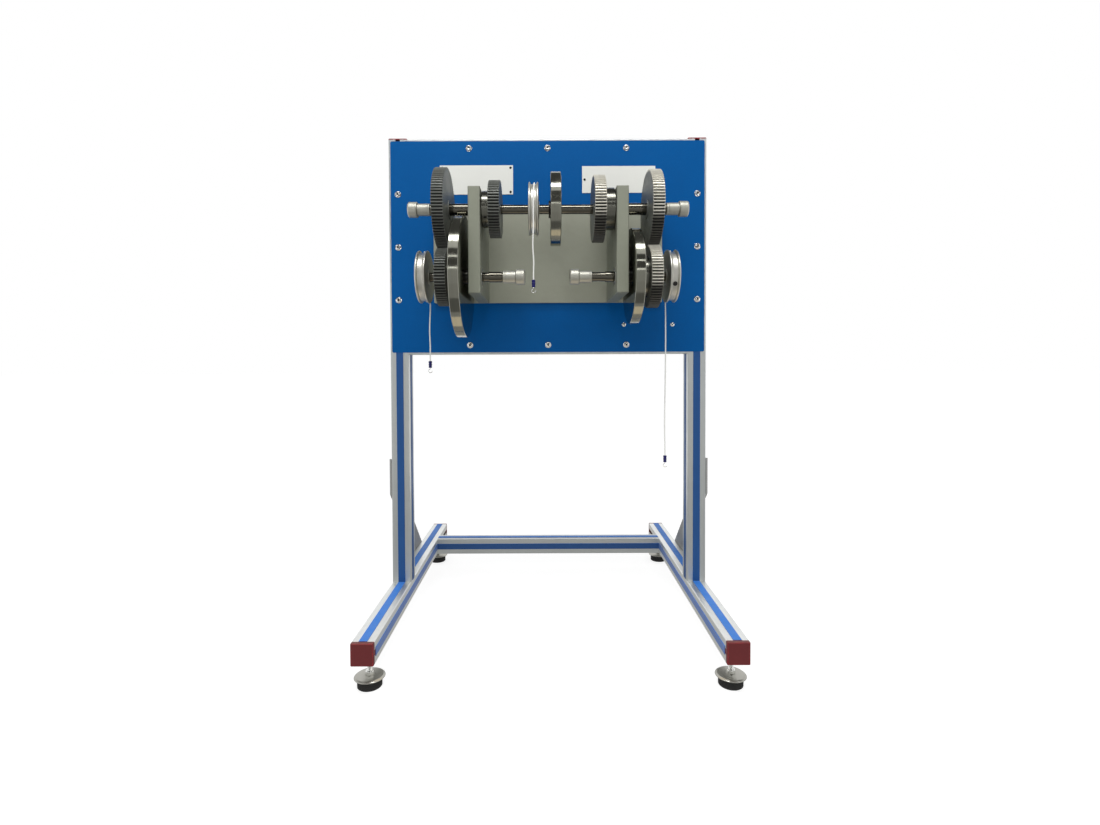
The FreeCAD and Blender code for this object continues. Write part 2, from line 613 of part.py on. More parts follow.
fixed_rings = []
turning_rings = {"main": [], "left": [], "right": []}
for side, sign in SIDES:
    for shaft, z in (("main", MAIN_Z), (side, {"left": LEFT_Z, "right": RIGHT_Z}[side])):
        x = f"{sign}cheek_centre - bearing_width / 2"
        fixed = ring(f"{side}_{shaft}_fixed_ring", "bearing_race", "bearing_radius")
        turning = ring(f"{side}_{shaft}_turning_ring", "shaft_radius + fit_gap", "bearing_race - running_gap")
        fixed_rings.append(place(fixed, x, AXIS_Y, z, TO_RIGHT))
        turning_rings[shaft].append(place(turning, x, AXIS_Y, z, TO_RIGHT))
group("bearing_outer_rings", fixed_rings)
for shaft, rings in turning_rings.items():
    group(f"{shaft}_inner_rings", rings)


# Shafts
def shaft(name, low, high, z):
    body = turned(name, [
        ("0", low),
        ("shaft_radius - shaft_edge", low),
        ("shaft_radius", f"{low} + shaft_edge"),
        ("shaft_radius", f"{high} - shaft_edge"),
        ("shaft_radius - shaft_edge", high),
        ("0", high),
    ])
    return place(node(name, body), "0", AXIS_Y, z, TO_RIGHT)


LEFT_END = "(-left_pulley_centre - pulley_width / 2 - shaft_end)"
RIGHT_END = "(right_pulley_centre + pulley_width / 2 + shaft_end)"
shaft("main_shaft", "(-main_knob_near - knob_bore)", "(main_knob_near + knob_bore)", MAIN_Z)
shaft("left_shaft", LEFT_END, "(knob_bore - left_knob_near)", LEFT_Z)
shaft("right_shaft", "(right_knob_near - knob_bore)", RIGHT_END, RIGHT_Z)


# Gears
def gear(name, teeth, phase, hub_radius, hub):
    """A gear along its own Z, with a hub past its teeth, and a gap at its own -X, turned on by phase degrees."""
    pitch = f"(gear_module * {teeth} / 2)"
    tip = f"({pitch} + gear_module)"
    foot = f"({pitch} - tooth_foot * gear_module)"
    bore = "shaft_radius + fit_gap"
    body = turned(name, [
        (bore, "0"),
        (tip, "0"),
        (tip, "gear_width"),
        (hub_radius, "gear_width"),
        (hub_radius, f"gear_width + {hub}"),
        (bore, f"gear_width + {hub}"),
    ])

    def half_gap(radius):
        """Half the angle of a gap at that radius, in degrees, between two involutes."""
        contact = f"acos({pitch} * cos(pressure_angle * 1 deg) / {radius})"
        involute = f"(tan({contact}) * 1 rad - {contact})"
        at_pitch = "(tan(pressure_angle * 1 deg) * 1 rad - pressure_angle * 1 deg)"
        return f"(90 deg / {teeth} + {involute} - {at_pitch} + backlash / 2 / {pitch} * 1 rad)"

    beyond = f"({tip} + gear_module / 4)"
    gap = []
    for radius, way in ((beyond, "-"), (foot, "-"), (foot, "+"), (beyond, "+")):
        angle = f"({phase} {way} {half_gap(radius)})"
        gap.append((f"-{radius} * cos({angle})", f"{radius} * sin({angle})"))
    cut = body.newObject("PartDesign::Pocket", name + "_gap")
    cut.Profile = sketch_on(body, "XY_Plane", gap)
    cut.Type = "ThroughAll"
    cut.Midplane = True
    around = body.newObject("PartDesign::PolarPattern", name + "_teeth")
    around.Originals = [cut]
    around.Axis = (origin(body, "Z_Axis"), [""])
    around.Angle = 360
    bind(around, "Occurrences", teeth)
    body.Tip = around
    return node(name, body)


TOOTH_DOWN = "(180 deg + 180 deg / {})"
left_gap = "(left_gear_near - left_flywheel_near - left_flywheel_width - fit_gap)"
right_gap = "(right_gear_near - right_flywheel_near - right_flywheel_width - fit_gap)"
left_face = "-(left_gear_near + gear_width)"
right_face = "right_gear_near + gear_width"
inner_left_hub = "(cheek_centre - cheek_thickness / 2 - cheek_gap - inner_left_gear_near - gear_width)"
inner_right_hub = "(cheek_centre - cheek_thickness / 2 - cheek_gap - inner_right_gear_near - gear_width)"
wheels = (
    ("upper_left_gear", "upper_left_teeth", TOOTH_DOWN.format("upper_left_teeth"),
     "sleeve_radius * 1.6", "pulley_boss", left_face, MAIN_Z, TO_RIGHT),
    ("upper_right_gear", "upper_right_teeth", TOOTH_DOWN.format("upper_right_teeth"),
     "sleeve_radius * 1.6", "pulley_boss", right_face, MAIN_Z, TO_LEFT),
    ("inner_left_gear", "inner_left_teeth", "0 deg",
     "left_hub_radius", inner_left_hub, "-inner_left_gear_near", MAIN_Z, TO_LEFT),
    ("inner_right_gear", "inner_right_teeth", "0 deg",
     "right_hub_radius", inner_right_hub, "inner_right_gear_near", MAIN_Z, TO_RIGHT),
    ("left_gear", "lower_left_teeth", "0 deg", "left_hub_radius", left_gap, left_face, LEFT_Z, TO_RIGHT),
    ("right_gear", "lower_right_teeth", "0 deg", "right_hub_radius", right_gap, right_face, RIGHT_Z, TO_LEFT),
)
for name, teeth, phase, hub_radius, hub, x, z, rotation in wheels:
    place(gear(name, teeth, phase, hub_radius, hub), x, AXIS_Y, z, rotation)

# Spacer sleeves between the bearings and the upper gears
ring_face = "(cheek_centre + bearing_width / 2)"
sleeves = []
for side, sign, rotation in (("left", "-", TO_LEFT), ("right", "", TO_RIGHT)):
    body = turned(f"{side}_sleeve", rectangle(
        "shaft_radius + fit_gap", "sleeve_radius", "0", f"{side}_gear_near - pulley_boss - {ring_face}"))
    sleeves.append(place(body, f"{sign}{ring_face}", AXIS_Y, MAIN_Z, rotation))
group("main_sleeves", sleeves)


# Cord pulleys
def pulley(name, x, z):
    bore = "shaft_radius + fit_gap"
    body = turned(name, [
        (bore, "-pulley_boss"),
        ("pulley_boss_radius", "-pulley_boss"),
        ("pulley_boss_radius", "0"),
        ("pulley_radius - shaft_edge / 2", "0"),
        ("pulley_radius", "shaft_edge / 2"),
        ("pulley_radius", "(pulley_width - groove_mouth) / 2"),
        ("groove_radius", "(pulley_width - groove_floor) / 2"),
        ("groove_radius", "(pulley_width + groove_floor) / 2"),
        ("pulley_radius", "(pulley_width + groove_mouth) / 2"),
        ("pulley_radius", "pulley_width - shaft_edge / 2"),
        ("pulley_radius - shaft_edge / 2", "pulley_width"),
        ("pulley_boss_radius", "pulley_width"),
        ("pulley_boss_radius", "pulley_width + pulley_boss"),
        (bore, "pulley_width + pulley_boss"),
    ])
    return place(node(name, body), f"{x} - pulley_width / 2", AXIS_Y, z, TO_RIGHT)


pulley("main_pulley", "-main_pulley_centre", MAIN_Z)
pulley("left_pulley", "-left_pulley_centre", LEFT_Z)
pulley("right_pulley", "right_pulley_centre", RIGHT_Z)


# Flywheels
def flywheel(name, radius, width, boss, x, z, rotation):
    """A disc along its own Z, with a boss on its near side that reaches the bearing."""
    bore = "shaft_radius + fit_gap"
    near = [(bore, f"-{boss}"), ("flywheel_boss_radius", f"-{boss}"), ("flywheel_boss_radius", "0")]
    body = turned(name, (near if boss != "0" else [(bore, "0")]) + [
        (f"{radius} - flywheel_edge", "0"),
        (radius, "flywheel_edge"),
        (radius, f"{width} - flywheel_edge"),
        (f"{radius} - flywheel_edge", width),
        (bore, width),
    ])
    return place(node(name, body), x, AXIS_Y, z, rotation)


flywheel("main_flywheel", "main_flywheel_radius", "main_flywheel_width", "0", "main_flywheel_near", MAIN_Z, TO_RIGHT)
flywheel("left_flywheel", "left_flywheel_radius", "left_flywheel_width", f"(left_flywheel_near - {ring_face})",
         "-left_flywheel_near", LEFT_Z, TO_LEFT)
flywheel("right_flywheel", "right_flywheel_radius", "right_flywheel_width", f"(right_flywheel_near - {ring_face})",
         "right_flywheel_near", RIGHT_Z, TO_RIGHT)

collar = turned("main_collar", [
    ("shaft_radius + fit_gap", "0"),
    ("collar_radius", "0"),
    ("collar_radius", "collar_width - shaft_edge"),
    ("collar_radius - shaft_edge", "collar_width"),
    ("shaft_radius + fit_gap", "collar_width"),
])
place(node("main_collar", collar), "main_flywheel_near", AXIS_Y, MAIN_Z, TO_LEFT)


# Knobs on the shafts' ends
def knob(name):
    return turned(name, [
        ("shaft_radius + fit_gap", "0"),
        ("knob_neck_radius", "0"),
        ("knob_neck_radius", "knob_neck"),
        ("knob_head_radius - knob_edge", "knob_neck"),
        ("knob_head_radius", "knob_neck + knob_edge"),
        ("knob_head_radius", "knob_neck + knob_head - knob_edge"),
        ("knob_head_radius - knob_edge", "knob_neck + knob_head"),
        ("0", "knob_neck + knob_head"),
        ("0", "knob_bore"),
        ("shaft_radius + fit_gap", "knob_bore"),
    ])


group("main_knobs", [
    place(knob("main_left_knob"), "-main_knob_near", AXIS_Y, MAIN_Z, TO_LEFT),
    place(knob("main_right_knob"), "main_knob_near", AXIS_Y, MAIN_Z, TO_RIGHT),
])
place(node("left_knob", knob("left_knob")), "-left_knob_near", AXIS_Y, LEFT_Z, TO_RIGHT)
place(node("right_knob", knob("right_knob")), "right_knob_near", AXIS_Y, RIGHT_Z, TO_LEFT)


# Cords, each round its pulley and then straight down to a ferrule and a wire hook
def arc(name, ring_radius, wire_radius, angle):
    """A bent wire: part of a ring round its own Z, from its own X on."""
    torus = doc.addObject("Part::Torus", name)
    bind(torus, "Radius1", ring_radius)
    bind(torus, "Radius2", wire_radius)
    bind(torus, "Angle3", angle)
    return torus


cords = (
    ("main", "-main_pulley_centre", f"{AXIS_Y} - {CORD_RADIUS}", MAIN_Z, LEFT, "main_wrap", "main_drop"),
    ("left", "-left_pulley_centre", f"{AXIS_Y} + {CORD_RADIUS}", LEFT_Z, RIGHT, "side_wrap", "left_drop"),
    ("right", "right_pulley_centre", f"{AXIS_Y} + {CORD_RADIUS}", RIGHT_Z, RIGHT, "side_wrap", "right_drop"),
)
wraps = []
for name, x, y, z, around, angle, drop in cords:
    wrap = arc(f"{name}_wrap", CORD_RADIUS, "cord_radius", angle)
    wraps.append(place(wrap, x, AXIS_Y, z, facing(UP, around)))
    cord = doc.addObject("Part::Cylinder", f"{name}_cord")
    bind(cord, "Radius", "cord_radius")
    bind(cord, "Height", drop)
    place(node(f"{name}_cord", cord), x, y, f"{z} - {drop}")
    ferrule = turned(f"{name}_ferrule", [
        ("0", "-ferrule_length"),
        ("ferrule_radius - cord_seat", "-ferrule_length"),
        ("ferrule_radius", "cord_seat - ferrule_length"),
        ("ferrule_radius", "-cord_seat"),
        ("ferrule_radius - cord_seat", "0"),
        ("0", "0"),
    ])
    place(node(f"{name}_ferrule", ferrule), x, y, f"{z} - {drop}")
    stem = doc.addObject("Part::Cylinder", f"{name}_hook_stem")
    bind(stem, "Radius", "hook_wire")
    bind(stem, "Height", "hook_stem + hook_wire")
    place(stem, x, y, f"{z} - {drop} - ferrule_length - hook_stem - hook_wire")
    loop = arc(f"{name}_hook_loop", "hook_radius", "hook_wire", "hook_turn")
    loop_z = f"{z} - {drop} - ferrule_length - hook_stem - hook_wire - hook_radius"
    place(loop, x, y, loop_z, facing(LEFT, FRONT))
    hook = doc.addObject("Part::Fuse", f"{name}_hook")
    hook.Base = stem
    hook.Tool = loop
    node(f"{name}_hook", hook)
group("cord_wraps", wraps)

doc.recompute()
failed = [thing.Name for thing in doc.Objects if {"Invalid", "Error"} & set(thing.State)]
failed += [name for name, piece in nodes.items() if piece.Shape.isNull() or not piece.Shape.isValid()]
if failed:
    raise RuntimeError("these didn't build: " + ", ".join(failed))

os.makedirs("parts", exist_ok=True)
for name, piece in nodes.items():
    piece.Shape.exportStep(f"parts/{name}.step")
print(len(nodes), "nodes")
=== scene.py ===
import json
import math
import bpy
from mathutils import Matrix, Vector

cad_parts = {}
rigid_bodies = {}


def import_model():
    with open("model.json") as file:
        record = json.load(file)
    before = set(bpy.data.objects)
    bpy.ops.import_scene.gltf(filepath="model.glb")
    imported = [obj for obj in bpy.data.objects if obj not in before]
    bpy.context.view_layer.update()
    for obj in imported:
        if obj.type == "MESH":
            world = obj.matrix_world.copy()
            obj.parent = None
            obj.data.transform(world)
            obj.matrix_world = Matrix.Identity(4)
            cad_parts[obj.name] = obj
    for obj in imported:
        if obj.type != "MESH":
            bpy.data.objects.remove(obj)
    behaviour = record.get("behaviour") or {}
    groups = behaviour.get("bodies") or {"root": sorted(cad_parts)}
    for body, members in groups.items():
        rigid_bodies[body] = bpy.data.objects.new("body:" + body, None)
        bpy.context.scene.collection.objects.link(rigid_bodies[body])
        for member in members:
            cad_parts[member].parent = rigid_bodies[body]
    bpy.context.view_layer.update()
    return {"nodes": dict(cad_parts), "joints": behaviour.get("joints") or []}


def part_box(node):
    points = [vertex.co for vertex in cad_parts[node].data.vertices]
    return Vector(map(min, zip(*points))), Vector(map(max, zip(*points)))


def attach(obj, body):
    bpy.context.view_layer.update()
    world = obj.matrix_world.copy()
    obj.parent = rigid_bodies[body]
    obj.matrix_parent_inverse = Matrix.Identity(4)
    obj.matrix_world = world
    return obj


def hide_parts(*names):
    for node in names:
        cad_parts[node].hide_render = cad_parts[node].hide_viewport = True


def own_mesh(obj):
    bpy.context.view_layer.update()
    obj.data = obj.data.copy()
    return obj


bl_info = {
    "name": "Geared acceleration apparatus",
    "version": (1, 0, 0),
    "blender": (4, 5, 0),
    "location": "3D View > Sidebar > Apparatus",
    "description": "Dresses the packed solids of a geared acceleration apparatus: machined pieces, finishes and studio",
    "category": "Object",
}

import bmesh
import bpy
from bpy.props import FloatProperty, FloatVectorProperty, IntProperty, PointerProperty
from mathutils import Matrix, Vector

for startup in list(bpy.data.objects):
    bpy.data.objects.remove(startup)
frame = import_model()

MM = 0.001
UP = Vector((0, 0, 1))
DOWN = Vector((0, 0, -1))
RIGHT = Vector((1, 0, 0))
LEFT = Vector((-1, 0, 0))
FRONT = Vector((0, -1, 0))
BACK = Vector((0, 1, 0))
AT_ORIGIN = Matrix.Identity(4)
JOINTS = {joint["name"]: joint for joint in frame["joints"]}
# Each shaft's axis
AXES = {train: Vector(JOINTS[f"{train}_turn"]["pos_m"]) for train in ("main", "left", "right")}


# Settings
def paint(red, green, blue):
    """A colour given in 8-bit screen values, as the linear colour that a shader takes."""
    return tuple(
        value / 255 / 12.92 if value <= 10 else ((value / 255 + 0.055) / 1.055) ** 2.4
        for value in (red, green, blue)
    )


def colour(name, description, *screen):
    return FloatVectorProperty(
        name=name, description=description, default=paint(*screen), subtype="COLOR", size=3, min=0, max=1
    )


def length(name, description, millimetres):
    return FloatProperty(name=name, description=description, default=millimetres * MM, min=0, unit="LENGTH")


def share(name, description, default):
    return FloatProperty(name=name, description=description, default=default, min=0, max=1, subtype="FACTOR")


def strength(name, description, default):
    return FloatProperty(name=name, description=description, default=default, min=0)


class ApparatusColours(bpy.types.PropertyGroup):
    panel_blue: colour("Panel blue", "Powder coat of the front panel", 0, 82, 148)
    strip_blue: colour("Strip blue", "Slot cover strips of the columns", 38, 82, 140)
    base_strip_blue: colour("Base strip blue", "Slot cover strips of the rails and beam", 46, 84, 140)
    # Painted light: these two stand for the strips lit from above and the sheen on their sides
    faded_blue: colour("Faded blue", "Those strips where they face up", 28, 127, 226)
    pale_blue: colour("Pale blue", "Those strips where they face aside", 100, 130, 192)
    cap_red: colour("Cap red", "Moulded end caps", 108, 40, 42)
    cap_edge_red: colour("Cap edge red", "Where light gets through a cap's edges", 236, 44, 62)
    brace_grey: colour("Brace grey", "Paint of the diagonal braces", 150, 151, 150)
    cheek_grey: colour("Cheek grey", "Hard coat of the cheeks", 138, 141, 127)
    mount_grey: colour("Mount grey", "Hard coat of the backing plate", 150, 152, 138)
    label_white: colour("Label white", "Film of the blank label plates", 220, 221, 216)
    rubber_black: colour("Rubber black", "Pads under the feet", 72, 69, 50)
    cord_white: colour("Cord white", "Twisted cords", 230, 231, 227)
    crimp_navy: colour("Crimp navy", "Sleeves crimped on the cords' ends", 26, 26, 92)
    frame_aluminium: colour("Frame aluminium", "Anodised slotted bars", 208, 212, 212)
    pulley_aluminium: colour("Pulley aluminium", "Bright turned pulleys", 208, 207, 199)
    knob_aluminium: colour("Knob aluminium", "Satin turned knobs", 194, 193, 183)
    # Painted light: the rails' aluminium is painted lighter than the columns' for the light they catch from above
    rail_aluminium: colour("Rail aluminium", "Anodised slotted bars of the foot", 236, 238, 237)
    bright_steel: colour("Bright steel", "Slot nuts and worn edges", 196, 195, 191)
    screw_steel: colour("Screw steel", "Zinc-plated screws, stems and hooks", 236, 237, 234)
    dish_steel: colour("Dish steel", "Plated dishes of the feet", 176, 175, 168)
    gear_steel: colour("Gear steel", "Blackened gears", 112, 115, 110)
    hub_steel: colour("Hub steel", "Turned hubs of the gears", 114, 114, 106)
    # Painted light: the gears on the right take this lighter colour for the bright reflection they catch, not for a
    # different steel
    bare_gear_steel: colour("Bare gear steel", "Freshly cut teeth of the gears on the right", 222, 219, 207)
    flywheel_steel: colour("Flywheel steel", "Turned flywheels", 150, 150, 139)
    # Also the painted shade on the flywheels' bosses, between flywheel and cheek
    oxide_black: colour("Oxide black", "Blackened collars and screws", 52, 52, 50)
    # Painted shade: this black stands for the shade in gear gaps, screw sockets and set screws' wells, and on the
    # gears' low sides
    recess_black: colour("Recess black", "Oily bottoms of gear gaps and screw sockets", 24, 24, 22)
    shaft_steel: colour("Shaft steel", "Ground shafts and sleeves", 104, 101, 92)
    bearing_steel: colour("Bearing steel", "Bearing rings", 176, 176, 174)


class ApparatusWear(bpy.types.PropertyGroup):
    # This also sets how strongly the caps' edges are painted with a glow of light
    edge_wear: share("Edge wear", "How far paint and coating have gone from the edges", 0.45)
    dust: share("Dust", "Dust on what faces up", 0.12)
    smudges: share("Smudges", "Handling marks in the gloss", 0.5)
    hairlines: share("Hairlines", "Fine scratches", 0.4)


class ApparatusSizes(bpy.types.PropertyGroup):
    bar_edge: length("Bar edge", "Rounding of the bars' and plates' edges", 0.4)
    gear_width: length("Gear width", "Width of a gear's teeth", 24)
    tooth_chamfer: length("Tooth chamfer", "Chamfer turned on the tips of the teeth", 0.7)
    gear_module: length("Gear module", "Module of every gear", 2)
    thread_pitch: length("Thread pitch", "Pitch of the feet's threaded stems", 1.5)
    thread_depth: length("Thread depth", "Depth of that thread", 0.8)
    cord_diameter: length("Cord diameter", "Thickness of the cords", 3)
    cord_twist: length("Cord twist", "Length of one turn of the cords' strands", 9)
    cord_line: length("Cord line", "Distance from a pulley's axis to its cord's middle", 53.3)
    wire_diameter: length("Wire diameter", "Thickness of the wire hooks", 1.5)
    round_steps: IntProperty(
        name="Round steps", description="Facets round a disc", default=160, min=24, max=512)


class ApparatusStage(bpy.types.PropertyGroup):
    camera_place: FloatVectorProperty(
        name="Camera place", description="Where the camera stands", default=(-0.0089, -1.5036, 0.6438),
        subtype="TRANSLATION", unit="LENGTH", size=3)
    camera_lens: FloatProperty(name="Lens", description="Focal length, in millimetres", default=18.747, min=1)
    camera_tilt: FloatProperty(
        name="Tilt", description="How far the camera looks down", default=math.radians(1.364), subtype="ANGLE")
    camera_roll: FloatProperty(
        name="Roll", description="How far the camera leans", default=math.radians(-0.22), subtype="ANGLE")
    shift_x: FloatProperty(name="Shift X", description="Sideways shift of the picture", default=0.00485)
    shift_y: FloatProperty(name="Shift Y", description="Upward shift of the picture", default=-0.03125)
    softbox_power: strength("Softbox", "Power of the lamp overhead, in watts", 22)
    fill_power: strength("Fill", "Power of the front lamp, in watts", 30)
    room_light: strength("Room light", "Light that comes from all round", 0.5)
    floor_grey: colour("Floor", "Pale floor", 236, 236, 234)


# Node trees
def new_tree(holder):
    """The emptied node tree of a material or world."""
    holder.use_nodes = True
    holder.node_tree.nodes.clear()
    return holder.node_tree


def put(tree, kind, inputs=None, **settings):
    """Adds a node, with its settings and its inputs' values or links."""
    node = tree.nodes.new("ShaderNode" + kind)
    for name, value in settings.items():
        setattr(node, name, value)
    for name, value in (inputs or {}).items():
        if isinstance(value, bpy.types.NodeSocket):
            tree.links.new(value, node.inputs[name])
        else:
            node.inputs[name].default_value = value
    return node


def sum_up(tree, operation, first, second=0.0, clamp=False):
    return put(tree, "Math", {0: first, 1: second}, operation=operation, use_clamp=clamp).outputs[0]


def times(tree, first, second, clamp=False):
    return sum_up(tree, "MULTIPLY", first, second, clamp)


def plus(tree, first, second, clamp=False):
    return sum_up(tree, "ADD", first, second, clamp)


def shared(tree, first, second, part):
    """Two values added up, the first in that part and the second in the rest."""
    return plus(tree, times(tree, first, part), times(tree, second, 1 - part))


def span(tree, value, low, high, to_low=0.0, to_high=1.0, smooth=False):
    """The value's span from low to high, spread from to_low to to_high."""
    inputs = {"Value": value, "From Min": low, "From Max": high, "To Min": to_low, "To Max": to_high}
    kind = "SMOOTHSTEP" if smooth else "LINEAR"
    return put(tree, "MapRange", inputs, interpolation_type=kind).outputs["Result"]


def tint(tree, factor, first, second, blend="MIX"):
    """Two colours mixed, each a socket or three numbers."""
    first, second = (
        value if isinstance(value, bpy.types.NodeSocket) else (*value, 1) for value in (first, second))
    inputs = {0: factor, 6: first, 7: second}
    return put(tree, "Mix", inputs, data_type="RGBA", blend_type=blend).outputs[2]


def stretched(tree, vector, scale):
    return put(tree, "VectorMath", {0: vector, 1: scale}, operation="MULTIPLY").outputs[0]


def noise(tree, vector, scale, detail=2.0, roughness=0.5, distortion=0.0):
    inputs = {"Vector": vector, "Scale": scale, "Detail": detail, "Roughness": roughness,
              "Distortion": distortion}
    return put(tree, "TexNoise", inputs).outputs["Fac"]


def normal(tree):
    """The three parts of the surface's normal."""
    return put(tree, "SeparateXYZ", {0: put(tree, "NewGeometry").outputs["Normal"]}).outputs


def effect(tree, name, inputs):
    """The outputs of an effect's node group."""
    return put(tree, "Group", inputs, node_tree=bpy.data.node_groups[name]).outputs


# Effects: each function builds the node group of its name and yields what the group puts out
EFFECTS = []


def gives(*outputs, **inputs):
    """Lists an effect, with the names of its outputs and the defaults of its inputs."""

    def keep(build):
        EFFECTS.append((build, outputs, inputs))
        return build

    return keep


def make_effect(build, outputs, inputs):
    tree = bpy.data.node_groups.new(build.__name__, "ShaderNodeTree")
    for label, default in inputs.items():
        kind = "NodeSocketFloat" if isinstance(default, float) else "NodeSocketVector"
        socket = tree.interface.new_socket(name=label, in_out="INPUT", socket_type=kind)
        if default is not None:
            socket.default_value = default
    for label in outputs:
        tree.interface.new_socket(name=label, in_out="OUTPUT", socket_type="NodeSocketFloat")
    given = tree.nodes.new("NodeGroupInput").outputs
    out = tree.nodes.new("NodeGroupOutput").inputs
    for label, value in zip(outputs, build(tree, *(given[label] for label in inputs))):
        tree.links.new(value, out[label])


@gives("Rings", Vector=None, Fineness=1500.0)
def turning_marks(tree, where, fineness):
    """Fine rings that a lathe leaves round an object's own Z, on its faces and its rim."""
    x, y, z = put(tree, "SeparateXYZ", {0: where}).outputs
    across = sum_up(tree, "SQRT", plus(tree, sum_up(tree, "POWER", x, 2.0), sum_up(tree, "POWER", y, 2.0)))
    around = put(tree, "CombineXYZ", {0: across, 1: z, 2: 0.0}).outputs[0]
    fine = noise(tree, around, fineness, 3.0, 0.65)
    broad = noise(tree, around, times(tree, fineness, 0.12), 1.0)
    yield span(tree, shared(tree, fine, broad, 0.7), 0.25, 0.75)


@gives("Lines", Vector=None, Stretch=(900.0, 900.0, 4.0))
def drawn_lines(tree, where, stretch):
    """Lines along the way that a bar or strip was drawn."""
    along = stretched(tree, where, stretch)
    fine = noise(tree, along, 1.0, 3.0, 0.6)
    broad = noise(tree, along, 0.17, 1.0)
    yield span(tree, shared(tree, fine, broad, 0.65), 0.25, 0.75)


@gives("Grain", "Pebbles", Vector=None, Scale=1500.0)
def grain(tree, where, scale):
    """Even fine grain, and the softer pebbles of moulded and powder-coated faces."""
    yield noise(tree, where, scale, 3.0, 0.6)
    inputs = {"Vector": where, "Scale": scale, "Smoothness": 0.6}
    yield put(tree, "TexVoronoi", inputs, feature="SMOOTH_F1").outputs["Distance"]


@gives("Smudges", Vector=None, Scale=14.0)
def smudges(tree, where, scale):
    """Large soft marks of handling, as a mask."""
    large = noise(tree, where, scale, 4.0, 0.62, 0.4)
    small = noise(tree, where, times(tree, scale, 5.0))
    yield span(tree, shared(tree, large, small, 0.75), 0.36, 0.66, smooth=True)


@gives("Hairlines", Vector=None, Scale=60.0)
def hairlines(tree, where, scale):
    """Sparse thin scratches in two directions, as a mask."""
    layers = []
    for angles, width in (((0.5, 0.8, 0.3), 0.006), ((1.9, 0.2, 1.1), 0.005)):
        aslant = put(tree, "VectorRotate", {"Vector": where, "Rotation": angles}, rotation_type="EULER_XYZ")
        field = noise(tree, stretched(tree, aslant.outputs[0], (1.0, 0.05, 1.0)), scale, 2.0, 0.4)
        near = sum_up(tree, "ABSOLUTE", sum_up(tree, "SUBTRACT", field, 0.5))
        layers.append(span(tree, near, width, 0.0))
    patches = span(tree, noise(tree, where, 18.0), 0.5, 0.62)
    yield times(tree, sum_up(tree, "MAXIMUM", *layers), patches, clamp=True)


@gives("Edges", Vector=None, Radius=0.8 * MM, Scale=160.0)
def edge_wear(tree, where, radius, scale):
    """Where a corner sticks out: knocked edges, and on the moulded caps a painted glow of light through the edges, as a
    broken mask.
    """
    rounded = put(tree, "Bevel", {"Radius": radius}, samples=4).outputs[0]
    straight = put(tree, "NewGeometry").outputs["Normal"]
    alike = put(tree, "VectorMath", {0: rounded, 1: straight}, operation="DOT_PRODUCT").outputs["Value"]
    broken = span(tree, noise(tree, where, scale, 4.0, 0.65), 0.4, 0.62)
    yield times(tree, span(tree, alike, 0.99, 0.86), plus(tree, broken, 0.25), clamp=True)


@gives("Dust", Vector=None, Scale=45.0)
def settled_dust(tree, where, scale):
    """Dust on what faces up, thicker in patches, as a mask."""
    upward = span(tree, normal(tree)[2], 0.45, 0.95, smooth=True)
    patches = span(tree, noise(tree, where, scale, 5.0, 0.7), 0.35, 0.7, 0.35, 1.0)
    specks = span(tree, noise(tree, where, 1900.0, 1.0), 0.6, 0.72)
    yield times(tree, upward, plus(tree, patches, times(tree, specks, 0.5)), clamp=True)


@gives("Up", "Aside")
def facing(tree):
    """What faces up and what faces aside, where the strips are painted lighter as lit, as masks."""
    aside, _, up = normal(tree)
    yield span(tree, up, 0.5, 0.9, smooth=True)
    yield span(tree, sum_up(tree, "ABSOLUTE", aside), 0.5, 0.9, smooth=True)


@gives("Low", Vector=None)
def low_side(tree, where):
    """The side of a gear that rests below, where it is painted darker as shade, as a mask; own X points there."""
    flat = stretched(tree, where, (1, 1, 0))
    around = put(tree, "VectorMath", {0: flat}, operation="NORMALIZE").outputs[0]
    yield span(tree, put(tree, "SeparateXYZ", {0: around}).outputs[0], 0.24, 0.5, smooth=True)


# Finishes
UPRIGHT = (900, 900, 5)
FORE_AND_AFT = (900, 5, 900)
SIDEWAYS = (5, 900, 900)
